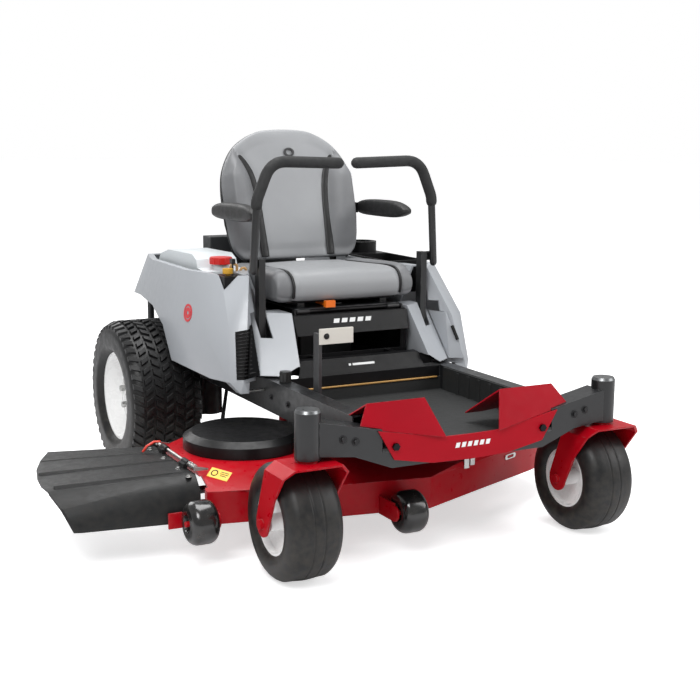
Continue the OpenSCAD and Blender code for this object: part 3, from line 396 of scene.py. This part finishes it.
def rounded(points, bend, steps=8):
    """A path with its corners rounded to the radius bend."""
    p = [Vector(q) for q in points]
    out = [p[0]]
    for a, b, c in zip(p, p[1:], p[2:]):
        u, w = (a - b).normalized(), (c - b).normalized()
        half = math.acos(max(-1, min(1, u.dot(w)))) / 2
        cut = min(bend / math.tan(half), 0.48 * (a - b).length, 0.48 * (c - b).length)
        s, e = b + u * cut, b + w * cut
        out += [(s * (1 - t) ** 2 + b * 2 * t * (1 - t) + e * t ** 2) for t in [k / steps for k in range(steps + 1)]]
    return out + [p[-1]]


# ---------------------------------------------------------------- tyres

def tyre_profile(ro, rb, w, shoulder, wall=0.012):
    """Closed section of a tyre, from the outside round to the inside."""
    h = 0.4 * w
    half = [(rb, h), (rb + 0.006, h + 0.007)]
    half += [(rb + 0.012 + (ro - shoulder - rb - 0.012) * t, w / 2 - 0.006 * (1 - math.sin(math.pi * (0.15 + 0.7 * t))))
             for t in (0.1, 0.35, 0.6, 0.85)]
    half += [(ro - shoulder + shoulder * math.sin(a), w / 2 - shoulder * 1.0 + shoulder * math.cos(a))
             for a in [math.radians(d) for d in (10, 25, 40, 55, 70, 83)]]
    outer = half + [(ro, 0.0)] + [(r, -x) for r, x in reversed(half)]
    inner = [(r - wall if r > rb + 0.02 else r + 0.003, x * 0.84) for r, x in reversed(outer)]
    return outer + inner


def rear_tyre(name, side):
    body, cad = f"drive_wheel_{name}", f"rear_tyre_{name}"
    a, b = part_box(cad)
    c = (a + b) / 2
    ro, w, depth = (b.z - a.z) / 2, b.x - a.x, 0.009
    carcass = ro - depth
    tyre = lathe(f"rear_tyre_{name}_carcass", tyre_profile(carcass, 0.152, w, 0.040), c, MAT["tyre_black"], body,
                 120)
    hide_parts(cad)
    lugs = Build()

    def surface(x, ang, h):
        over = max(0.0, abs(x) - (w / 2 - 0.040))
        drop = 0.040 - math.sqrt(max(0.0, 0.040 ** 2 - min(over, 0.0395) ** 2))
        r = carcass - drop + h * (1 - 0.35 * over / 0.04)
        return c + Vector((x + (math.copysign(h * over / 0.04 * 0.6, x) if over else 0), r * math.sin(ang),
                           r * math.cos(ang)))

    rows, cols = 46, (-0.104, -0.070, -0.035, 0.0, 0.035, 0.070, 0.104)
    pitch = 2 * math.pi / rows
    for i in range(rows):
        for k, x in enumerate(cols):
            mid = (i + 0.5 * (k % 2)) * pitch + 0.16 * x / 0.1 * pitch * 2
            half_w, half_a = 0.0145, pitch * 0.31
            skew = 0.22 * pitch * (1 if k % 2 else -1)
            top, base = [], []
            for sx, sa in ((-1, -1), (1, -1), (1, 1), (-1, 1)):
                ang = mid + sa * half_a + sx * skew
                base.append(surface(x + sx * half_w, ang, -0.003))
                top.append(surface(x + sx * half_w * 0.84, mid + sa * half_a * 0.8 + sx * skew, depth - 0.0003))
            lugs.add(base + top, [(3, 2, 1, 0), (4, 5, 6, 7), (0, 1, 5, 4), (1, 2, 6, 5), (2, 3, 7, 6), (3, 0, 4, 7)])
    lugs.make(f"rear_tyre_{name}_tread", MAT["tyre_black"], body, edge=0.0012)
    ring = Build()
    for r in (ro - 0.052, ro - 0.085):
        ring.tube([c + Vector((side * (w / 2 - 0.0035), r * math.sin(t), r * math.cos(t)))
                   for t in [2 * math.pi * i / 90 for i in range(91)]], 0.0022, 8, round_ends=False)
    ring.make(f"rear_tyre_{name}_ribs", MAT["tyre_black"], body, smooth=True)
    nuts = Build()
    for i in range(5):
        t = 2 * math.pi * i / 5
        nuts.prism(c + Vector((side * 0.060, 0.050 * math.sin(t), 0.050 * math.cos(t))), (side, 0, 0), 0.0125, 0.018, 6,
                   0.002)
    nuts.prism(c + Vector((side * 0.060, 0, 0)), (side, 0, 0), 0.026, 0.006, 32, 0.002)
    nuts.make(f"wheel_nuts_{name}", EXTRA["steel"], body)


def caster_tyre(name, side):
    body, cad = f"caster_wheel_{name}", f"caster_tyre_{name}"
    a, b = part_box(cad)
    c = (a + b) / 2
    ro, w = (b.z - a.z) / 2, b.x - a.x
    s, rb, h = 0.046, 0.088, 0.4 * (b.x - a.x)
    half = [(rb, h), (rb + 0.004, h + 0.006), (rb + 0.014, w / 2 - 0.003), (rb + 0.024, w / 2 - 0.0005)]
    half += [(ro - s + s * math.sin(t), w / 2 - s + s * math.cos(t)) for t in
             [math.radians(d) for d in (8, 20, 32, 44, 56, 68)]]
    crown = []
    for x in np.linspace(0.030, 0, 13):
        r = ro - 0.0035 * (x / 0.036) ** 2
        groove = 0.0028 if abs(x - 0.015) < 0.0018 else 0
        crown.append((r - groove, float(x)))
    half += crown
    outer = half + [(r, -x) for r, x in reversed(half[:-1])]
    inner = [(r - 0.009 if r > rb + 0.02 else r + 0.003, x * 0.86) for r, x in reversed(outer)]
    tyre = lathe(f"caster_tyre_{name}_skin", outer + inner, c, MAT["tyre_black"], body, 96)
    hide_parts(cad)


for name, side in SIDES:
    rear_tyre(name, side)
    caster_tyre(name, side)


# ---------------------------------------------------------------- control levers

def mirrored(points, side):
    return [M(side * x, y, z) for x, y, z in points]


LEVER = [(330, -627, 764), (317, -627, 985), (268, -627, 1104), (33, -627, 1097)]
for name, side in SIDES:
    body = f"lever_{name}"
    path = rounded(mirrored(LEVER, side), 0.075)
    arm = Build()
    arm.tube([p for p in path if p.z < 1.02] + [M(side * 300, -627, 1030)], 0.012, 20)
    plate = [(309, 774), (309, 796), (319, 797), (334, 812), (336, 764), (319, 773)]
    v = [M(side * x, y, z) for y in (-615.5, -610.2) for x, z in plate]
    n = len(plate)
    arm.add(v, [list(range(n)), list(range(n, 2 * n))[::-1]] + [(i, (i + 1) % n, n + (i + 1) % n, n + i)
                                                                for i in range(n)])
    arm.bolt(M(side * 319, -610, 785), (0, 1, 0), 0.0065)
    a = arm.make(f"lever_tube_{name}", MAT["lever_black"], body, smooth=True, edge=0.001)
    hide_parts(f"lever_arm_{name}")
    grip = Build()
    start = next(i for i, p in enumerate(path) if p.z > 0.965)
    first = M(side * 318.2, -627, 968)
    grip.tube([first] + path[start:], 0.018, 24)
    g = grip.make(f"lever_foam_{name}", MAT["grip_foam"], body, smooth=True)
    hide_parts(f"lever_grip_{name}")


# ---------------------------------------------------------------- seat

def super_loop(cx, cy, a, b, n, power):
    out = []
    for i in range(n):
        t = 2 * math.pi * i / n
        c, s = math.cos(t), math.sin(t)
        out.append((cx + a * math.copysign(abs(c) ** power, c), cy + b * math.copysign(abs(s) ** power, s)))
    return out


def bump(x, width):
    return math.exp(-(x / width) ** 2)


LEAN = math.radians(16.7)
BACK_EDGE = [(0.204, 0.028), (0.234, 0.066), (0.250, 0.160), (0.252, 0.270), (0.236, 0.352), (0.188, 0.428),
             (0.110, 0.476), (0.040, 0.487), (0.0, 0.488)]


def back_point(x, depth, height):
    """A point of the backrest: sideways, depth behind its front face, height along it."""
    return M(0, -288, 738) + Vector((x, depth * math.cos(LEAN) + height * math.sin(LEAN),
                                     -depth * math.sin(LEAN) + height * math.cos(LEAN)))


BACK_SEAM = [(0.196, 0.412), (0.170, 0.375), (0.146, 0.32), (0.135, 0.25), (0.131, 0.17), (0.128, 0.09),
             (0.126, 0.034)]
SEAM_CURVE = curve_points(BACK_SEAM, 8)


def seam_x(h):
    """Sideways place of the backrest's seam at a height."""
    return float(np.interp(h, [p[1] for p in reversed(SEAM_CURVE)], [p[0] for p in reversed(SEAM_CURVE)]))


def back_front(x, h):
    """Depth of the padded front surface: crowned panel, seam channel and side bolsters standing forward."""
    ax = abs(x)
    s = seam_x(h)
    d = 0.012 - 0.010 * bump(ax, 0.10) * min(1, (h - 0.02) / 0.06)
    d += 0.006 * bump(ax - s, 0.014)
    if ax > s:
        fade = max(0.0, min(1.0, (h - 0.05) / 0.12)) * max(0.0, min(1.0, (0.47 - h) / 0.16))
        d -= 0.046 * fade * math.sin(min(1, (ax - s) / 0.062) * math.pi / 2)
    return d


def back_seat():
    smooth_edge = curve_points(BACK_EDGE, 10)
    xs_e = [p[0] for p in smooth_edge]
    hs_e = [p[1] for p in smooth_edge]
    upper = sorted([(x, h) for x, h in zip(xs_e, hs_e) if h >= 0.27])
    lower = sorted([(x, h) for x, h in zip(xs_e, hs_e) if h <= 0.27])
    rows, stations = [], []
    m = 96
    edges = list(np.sin(np.linspace(-math.pi / 2, math.pi / 2, 75)) * 0.2495)
    for x in edges:
        ax = abs(x)
        top = float(np.interp(ax, [p[0] for p in upper], [p[1] for p in upper]))
        low = 0.028 if ax < 0.204 else float(np.interp(ax, [p[0] for p in lower], [p[1] for p in lower]))
        if ax > 0.247:
            top, low = 0.225 + (top - 0.225) * 0.86, 0.205 - (0.205 - low) * 0.8
        shrink = max(0.0, (ax - 0.205) / 0.0447)
        thick = 0.029 * math.sqrt(max(0.05, 1 - min(1, shrink) ** 2.4))
        row = []
        for d, h in super_loop(0.030, (top + low) / 2, thick, (top - low) / 2, m, 0.42):
            k = (d - 0.030) / 0.029
            if k < 0:
                edge = min(1.0, (top - h) / 0.05, (h - low) / 0.035 + 0.1, (0.2497 - ax) / 0.024 + 0.05)
                d += (back_front(x, h) - 0.001) * max(0.0, edge) * min(1, -k * 1.4)
            row.append(back_point(x, d, h))
            stations.append((x, d, h))
        rows.append(row)
    b = Build()
    b.loft(rows)
    index = []
    for f in b.f:
        pts = [stations[i] for i in f]
        x, d, h = (sum(p[k] for p in pts) / len(pts) for k in range(3))
        if d > 0.036:
            index.append(2)
        else:
            index.append(1 if abs(x) > seam_x(h) else 0)
    o = piece("seat_back_pad", b.v, b.f, None, "seat",
              mats=[MAT["seat_grey"], EXTRA["bolster_grey"], EXTRA["back_shell"]], index=index)
    o.modifiers.new("soft", "SUBSURF").render_levels = 1
    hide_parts("seat_backrest")
    strap = Build()
    for s in (1, -1):
        pts, ups = [], []
        for x, h in SEAM_CURVE:
            pts.append(back_point(s * x, 0.0105 + 0.012 * max(0.0, (h - 0.33) / 0.08), h))
            ups.append(back_point(0, -1, 0) - back_point(0, 0, 0))
        strap.tube(pts, 0.0145, 14, flat=0.34, ups=ups, round_ends=False)
    # Welt round the edge where the front meets the side panel
    rim = smooth_edge[::-1]
    full = [(-x, h) for x, h in rim[::-1]] + rim[1:]
    pts = [back_point(x * 0.992, 0.040, 0.028 + (h - 0.028) * 0.992 + 0.001) for x, h in full]
    strap.tube(pts, 0.0042, 10)
    strap.make("seat_back_piping", EXTRA["piping"], "seat", smooth=True)


def cushion_seam(y):
    """Half width of the cushion's centre panel at a place front to back (mm)."""
    return float(np.interp(y, [-646, -600, -480, -330, -255], [0.196, 0.196, 0.188, 0.172, 0.165]))


CUSHION = [(-262, 656), (-256, 700), (-262, 742), (-330, 748), (-450, 752), (-560, 756), (-612, 750), (-638, 728),
           (-646, 700), (-640, 672), (-612, 657), (-500, 655), (-380, 655)]


def cushion():
    loop = curve_points(CUSHION, 7, closed=True)
    cy, cz = -450.0, 700.0
    rows, stations = [], []
    xs = list(np.sin(np.linspace(-math.pi / 2, math.pi / 2, 77)) * 0.2495)
    for x in xs:
        ax = abs(x)
        k = max(0.0, (ax - 0.222) / 0.0275)
        fat = math.sqrt(max(0.0, 1 - min(1, k) ** 2))
        row = []
        for y, z in loop:
            s = cushion_seam(y)
            up = max(0.0, (z - 700) / 56) if z > 700 else 0.0
            front = max(0.0, min(1.0, (-560 - y) / 60)) * (1 if z > 668 else max(0, (z - 655) / 13))
            cover = max(up, front)
            d = 5.0 * bump(ax, 0.12) - 9.0 * bump(ax - s, 0.010)
            if ax > s:
                d += (7.0 if y > -600 else -12.0 * min(1, (-600 - y) / 46)) * math.sin(
                    min(1, (ax - s) / max(0.02, 0.245 - s)) * math.pi * 0.7)
            nx, nz = y - cy, (z - cz) * 3.4
            ln = math.hypot(nx, nz)
            yy = y + nx / ln * d * cover - (y - cy) * (1 - fat) * 0.055
            zz = z + nz / ln * d * cover - (z - cz) * (1 - fat) * 0.42
            row.append(M(0, yy, max(zz, 654.6)) + Vector((x, 0, 0)))
            stations.append((x, y, z))
        rows.append(row)
    b = Build()
    b.loft(rows)
    index = []
    for f in b.f:
        pts = [stations[i] for i in f]
        x, y, z = (sum(p[k] for p in pts) / len(pts) for k in range(3))
        if abs(x) > cushion_seam(y) or len(f) > 4:
            index.append(1)
        else:
            index.append(2 if z < 662 else 0)
    o = piece("seat_cushion_pad", b.v, b.f, None, "seat",
              mats=[MAT["seat_grey"], EXTRA["bolster_grey"], EXTRA["back_shell"]], index=index)
    o.modifiers.new("soft", "SUBSURF").render_levels = 1
    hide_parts("seat_cushion")
    piping = Build()
    run = [(-300, 747), (-450, 752), (-560, 756), (-612, 750), (-638, 728), (-645, 700), (-639, 672)]
    for s in (1, -1):
        pts = []
        for y, z in curve_points(run, 8):
            w = cushion_seam(y)
            nx, nz = y - cy, (z - cz) * 3.4
            ln = math.hypot(nx, nz)
            pts.append(M(0, y - nx / ln * 4.0, z - nz / ln * 4.0) + Vector((s * w, 0, 0)))
        piping.tube(pts, 0.0048, 10)
    piping.make("seat_cushion_piping", EXTRA["piping"], "seat", smooth=True)


back_seat()
cushion()


def armrest(name, side):
    body = f"arm_{name}"
    a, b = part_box(f"armrest_{name}")
    cx, half = (a.x + b.x) / 2, (b.x - a.x) / 2
    top = [(-187, 938), (-230, 952), (-300, 959), (-440, 961), (-505, 952), (-541, 936)]
    low = [(-187, 912), (-230, 903), (-300, 901), (-440, 903), (-505, 911), (-541, 923)]
    tops = curve_points(top, 6)
    lows = curve_points(low, 6)
    rows = []
    n = len(tops)
    for i, (t, l) in enumerate(zip(tops, lows)):
        k = i / (n - 1)
        wide = half * min(1.0, math.sqrt(max(0.06, 1 - (2 * k - 1) ** 10)))
        zc, zh = (t[1] + l[1]) / 2, (t[1] - l[1]) / 2
        y = M(0, t[0], 0).y
        rows.append([Vector((cx + u, y, zc / 1000 + w / 1000)) for u, w in super_loop(0, 0, wide, zh, 28, 0.62)])
    p = Build()
    p.loft(rows)
    o = p.make(f"armrest_pad_{name}", MAT["armrest_black"], body, smooth=True)
    o.modifiers.new("soft", "SUBSURF").render_levels = 1
    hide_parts(f"armrest_{name}")


for name, side in SIDES:
    armrest(name, side)

# ---------------------------------------------------------------- trim and hardware

# Trim strip across the rear of the footwell
trim = Build()
trim.tube([M(-262, -770, 403), M(262, -770, 403)], 0.0032, 10)
trim.make("footwell_trim", EXTRA["tan_trim"], "chassis", smooth=True)

# Closing strips above the footwell's rear wall and beside the lower panel
closing = Build()
closing.box(M(-279, -760, 401), M(279, -757, 439))
for s in (1, -1):
    closing.box(M(s * 205, -722, 441), M(s * 272, -720, 478))
closing.make("footwell_top_strip", MAT["panel_black"], "chassis", edge=0.0008)

# Bolts of the front beam and the rails
bolts = Build()
for s in (1, -1):
    for x, z in ((362, 392), (400, 402)):
        bolts.bolt(M(s * x, -1369, z), (0, -1, 0), 0.008)
    for y in (-1240, -1120, -1000, -880, -760):
        bolts.bolt(M(s * 330, y, 390), (s, 0, 0), 0.007)
bolts.make("frame_bolts", EXTRA["black_bolt"], "chassis", edge=0.0004)

# Slats of the open louvre beside the right pod, and the closed one's catch on the left
slats = Build()
for i in range(1, 12):
    t = i / 12
    a = M(-(392 + (354 - 392) * t), -735 + (-672 + 735) * t, 449 + 149 * t)
    b = M(-(347 + (329 - 347) * t), -713 + (-607 + 713) * t, 449 + 149 * t)
    slats.tube([a, b], 0.0026, 8, round_ends=False)
# The louvre carries on over the pod's front corner: its outer face, then its inner one
louvre = Build()
for corners, outward in (
        ([M(-409.5, -665.4, 583.6), M(-374.5, -679, 590), M(-402.9, -717.5, 441), M(-422, -705.6, 441)],
         Vector((-0.41, -0.86, 0.30))),
        ([M(-374.5, -679, 590), M(-353, -656, 590), M(-353, -688, 441), M(-402.9, -717.5, 441)],
         Vector((0.60, -0.75, 0.28)))):
    lift = outward.normalized()
    for i in range(1, 14):
        t = i / 14
        slats.tube([corners[0].lerp(corners[3], t) + lift * 0.0014, corners[1].lerp(corners[2], t) + lift * 0.0014],
                   0.0022, 8, round_ends=False)
    louvre.add([q + lift * k for k in (-0.0006, 0.0012) for q in corners],
               [(3, 2, 1, 0), (4, 5, 6, 7), (0, 1, 5, 4), (1, 2, 6, 5), (2, 3, 7, 6), (3, 0, 4, 7)])
slats.make("vent_slats", EXTRA["black_bolt"], "chassis", smooth=True)
louvre.make("vent_panel", EXTRA["decal_black"], "chassis")


def decal(name, centre, right, up, half_w, half_h, mat, body, shape="box", lift=0.0006, hole=0.0):
    """A thin plate lying on a surface: a box, an oval or a stadium, with an optional oval hole."""
    c, r, u = Vector(centre), Vector(right).normalized(), Vector(up).normalized()
    n = r.cross(u).normalized()
    if shape == "box":
        out = [(-half_w, -half_h), (half_w, -half_h), (half_w, half_h), (-half_w, half_h)]
    elif shape == "stadium":
        k = half_w - half_h
        out = [((k if math.cos(t) > 0 else -k) + half_h * math.cos(t), half_h * math.sin(t))
               for t in [2 * math.pi * (i + 0.5) / 32 for i in range(32)]]
    else:
        out = [(half_w * math.cos(t), half_h * math.sin(t)) for t in [2 * math.pi * i / 40 for i in range(40)]]
    loops = [out] + ([[(x * hole, y * hole) for x, y in out]] if hole else [])
    b = Build()
    m = len(out)
    v = [c + r * x + u * y + n * z for z in (-0.0004, lift) for loop in loops for x, y in loop]
    if hole:
        f = [(2 * m + i, 2 * m + (i + 1) % m, 3 * m + (i + 1) % m, 3 * m + i) for i in range(m)]
        f += [(i, m + i, m + (i + 1) % m, (i + 1) % m) for i in range(m)]
        f += [(i, (i + 1) % m, 2 * m + (i + 1) % m, 2 * m + i) for i in range(m)]
        f += [(m + i, 3 * m + i, 3 * m + (i + 1) % m, m + (i + 1) % m) for i in range(m)]
    else:
        f = [list(range(m))[::-1], list(range(m, 2 * m))]
        f += [(i, (i + 1) % m, m + (i + 1) % m, m + i) for i in range(m)]
    b.add(v, f)
    return b.make(name, mat, body)


for s, n in ((-1, "right"), (1, "left")):
    decal(f"pod_ring_{n}", M(s * 466.2, -406, 612), (0, -s * -1, 0), (-s * 0.15, 0, 0.99), 0.036, 0.029,
          EXTRA["decal_red"], "chassis", "oval", hole=0.74)
    decal(f"pod_disc_{n}", M(s * 466.2, -406, 612), (0, -s * -1, 0), (-s * 0.15, 0, 0.99), 0.023, 0.018,
          EXTRA["decal_red"], "chassis", "oval", hole=0.35)
decal("pod_catch", M(374, -700.5, 531), (0.83, 0.55, 0), (-0.24, 0.36, 0.90), 0.009, 0.026, EXTRA["decal_black"],
      "chassis", lift=0.003)
slope_r, slope_n = Vector((47, -43, -12.8)), Vector((-0.11, -0.39, 0.91))
slope_u = slope_n.cross(slope_r)
decal("label_yellow", M(-591, -975, 230.6), slope_r, slope_u, 0.031, 0.021, EXTRA["decal_yellow"], "deck")
decal("label_block", M(-591, -975, 230.6) - slope_r.normalized() * 0.015, slope_r, slope_u, 0.010, 0.014,
      EXTRA["decal_black"], "deck", "oval", lift=0.0009, hole=0.7)
for i, (w, dy) in enumerate(((0.012, 0.011), (0.012, 0.003), (0.009, -0.005))):
    decal(f"label_line_{i}", M(-591, -975, 230.6) + slope_r.normalized() * 0.013 + slope_u.normalized() * dy, slope_r,
          slope_u, w, 0.0013, EXTRA["decal_black"], "deck", lift=0.0009)
decal("deck_stadium", M(388.6, -1020, 178), (0.93, 0.37, 0), (0, 0, 1), 0.030, 0.008, EXTRA["steel"], "deck",
      "stadium", lift=0.002, hole=0.6)
decal("slide_scale", M(-12, -572, 638.2), (1, 0, 0), (0, 1, 0), 0.022, 0.009, EXTRA["decal_white"],
      "seat_tilt_plate", "oval")
decal("back_mark", back_point(0.006, 0.0, 0.40) + Vector((0, 0.0005, 0)), (1, 0, 0),
      back_point(0, 0, 1) - back_point(0, 0, 0), 0.020, 0.016, EXTRA["back_shell"], "seat", "oval", lift=0.0035,
      hole=0.6)

# Chute hinge spring, its red catch, and the rivets along the deflector's root
spring = Build()
spring.tube([M(-656 + 8.2 * math.cos(t), -950 + 2.6 * t / 1.0, 252 + 8.2 * math.sin(t))
             for t in [i * 0.5 for i in range(0, 36)]], 0.0014, 7)
spring.make("chute_spring", EXTRA["steel"], "deck", smooth=True)
catch = Build()
catch.tube([M(-664, -671, 265), M(-680, -670, 266), M(-702, -667, 254), M(-713, -666, 240)], 0.006, 12,
           flat=0.6, ups=[(0, 0, 1)] * 4)
catch.make("chute_catch", EXTRA["red_plastic"], "chute", smooth=True)
rivets = Build()
for y in (-970, -885, -760, -640):
    rivets.bolt(M(-682, y, 235.6 if y > -960 else 233.6), (0, 0, 1), 0.006)
rivets.make("chute_rivets", EXTRA["steel"], "chute")
# Hooks on the deck's nose, and the bracket from the right rail to the pod's foot
nose = Build()
nose.box(M(150, -1118, 190), M(168, -1104, 222))
nose.box(M(176, -1112, 196), M(192, -1098, 224))
nose.make("deck_hooks", EXTRA["steel"], "deck", edge=0.001)
catches = Build()
catches.box(M(-387, -717, 400), M(-330.5, -697, 405))
catches.make("pod_bracket", EXTRA["steel"], "chassis", edge=0.001)
pad_bolt = Build()
pad_bolt.bolt(M(-250, -976, 606), (0, -1, 0), 0.006)
pad_bolt.make("pedal_bolt", EXTRA["black_bolt"], "pedal")

# Generic marks, without wording
panel_marks = Build()
for i in range(5):
    x = -70 + i * 29
    v = [M(x, -671.8, 590), M(x + 20, -671.8, 590), M(x + 25, -667, 603), M(x + 5, -667, 603)]
    panel_marks.add(v + [q + Vector((0, 0.0012, 0)) for q in v],
                    [(0, 1, 2, 3), (7, 6, 5, 4), (0, 4, 5, 1), (1, 5, 6, 2), (2, 6, 7, 3), (3, 7, 4, 0)])
for a, b in ((-48, -40), (-34, 46)):
    v = [M(a, -738.4, 460), M(b, -738.4, 460), M(b, -735.6, 466.5), M(a, -735.6, 466.5)]
    panel_marks.add(v + [q + Vector((0, 0.0012, 0)) for q in v],
                    [(0, 1, 2, 3), (7, 6, 5, 4), (0, 4, 5, 1), (1, 5, 6, 2), (2, 6, 7, 3), (3, 7, 4, 0)])
panel_marks.make("panel_marks", EXTRA["decal_white"], "chassis")
marks = Build()
for i in range(6):
    x = -52 + i * 20
    v = [M(x, -1374.6, 340), M(x + 13, -1374.6, 340), M(x + 17, -1374.6, 354), M(x + 4, -1374.6, 354)]
    marks.add(v + [p + Vector((0, 0.001, 0)) for p in v], [(0, 1, 2, 3), (7, 6, 5, 4)])
marks.make("band_marks", EXTRA["decal_white"], "chassis")

# ---------------------------------------------------------------- stage

me = bpy.data.meshes.new("floor")
me.from_pydata([(-30, -20, -0.0005), (30, -20, -0.0005), (30, 40, -0.0005), (-30, 40, -0.0005)], [], [(0, 1, 2, 3)])
floor = bpy.data.objects.new("floor", me)
floor_mat = material("floor", (0.80, 0.80, 0.81), 0.6, bevel=0, grain=(60, 0.01), mottle=(0.6, 0.005))
tree = floor_mat.node_tree
seen = node(tree, "ShaderNodeLightPath").outputs["Is Camera Ray"]
tree.links.new(node(tree, "ShaderNodeMath", {0: seen, 1: 0.60}, operation="MULTIPLY").outputs[0],
               tree.nodes["Principled BSDF"].inputs["Emission Strength"])
tree.nodes["Principled BSDF"].inputs["Emission Color"].default_value = (1, 1, 1, 1)
tree.nodes["Principled BSDF"].inputs["Specular IOR Level"].default_value = 0.1
me.materials.append(floor_mat)
bpy.context.scene.collection.objects.link(floor)

world = bpy.data.worlds.new("studio")
world.use_nodes = True
tree = world.node_tree
seen = node(tree, "ShaderNodeLightPath").outputs["Is Camera Ray"]
tree.links.new(ramp(tree, seen, 0.0, 1.0, 0.50, 1.0), tree.nodes["Background"].inputs[1])
tree.nodes["Background"].inputs[0].default_value = (1, 1, 1, 1)
bpy.context.scene.world = world


def light(name, at, aim, size, power, size_y=None):
    data = bpy.data.lights.new(name, "AREA")
    data.energy, data.size = power, size
    if size_y:
        data.shape, data.size_y = "RECTANGLE", size_y
    o = bpy.data.objects.new(name, data)
    o.location = at
    o.rotation_euler = (Vector(aim) - Vector(at)).to_track_quat("-Z", "Y").to_euler()
    bpy.context.scene.collection.objects.link(o)


middle = (first_bounds[0] + first_bounds[1]) / 2
light("key", middle + Vector((-3.2, -3.6, 4.2)), middle, 2.6, 210)
light("fill", middle + Vector((3.6, -3.0, 2.2)), middle, 2.6, 80)
light("top", middle + Vector((0.3, 0.4, 4.6)), middle, 3.2, 210)
light("rear", middle + Vector((-1.0, 4.2, 2.4)), middle, 2.5, 60)

cam_data = bpy.data.cameras.new("camera")
cam_data.lens, cam_data.sensor_width = 63.45, 36
cam = bpy.data.objects.new("camera", cam_data)
yaw, pitch, roll = math.radians(28.09), math.radians(10.26), math.radians(0.46)
ahead = Vector((math.sin(yaw) * math.cos(pitch), math.cos(yaw) * math.cos(pitch), -math.sin(pitch)))
right = Vector((math.cos(yaw), -math.sin(yaw), 0))
up = right.cross(ahead)
right, up = right * math.cos(roll) + up * math.sin(roll), up * math.cos(roll) - right * math.sin(roll)
cam.matrix_world = Matrix.Translation(M(-1868.1, -4154.3, 1211.5)) @ Matrix(
    ((right.x, up.x, -ahead.x), (right.y, up.y, -ahead.y), (right.z, up.z, -ahead.z))).to_4x4()
bpy.context.scene.collection.objects.link(cam)
bpy.context.scene.camera = cam
bpy.context.scene.view_settings.view_transform = "Standard"
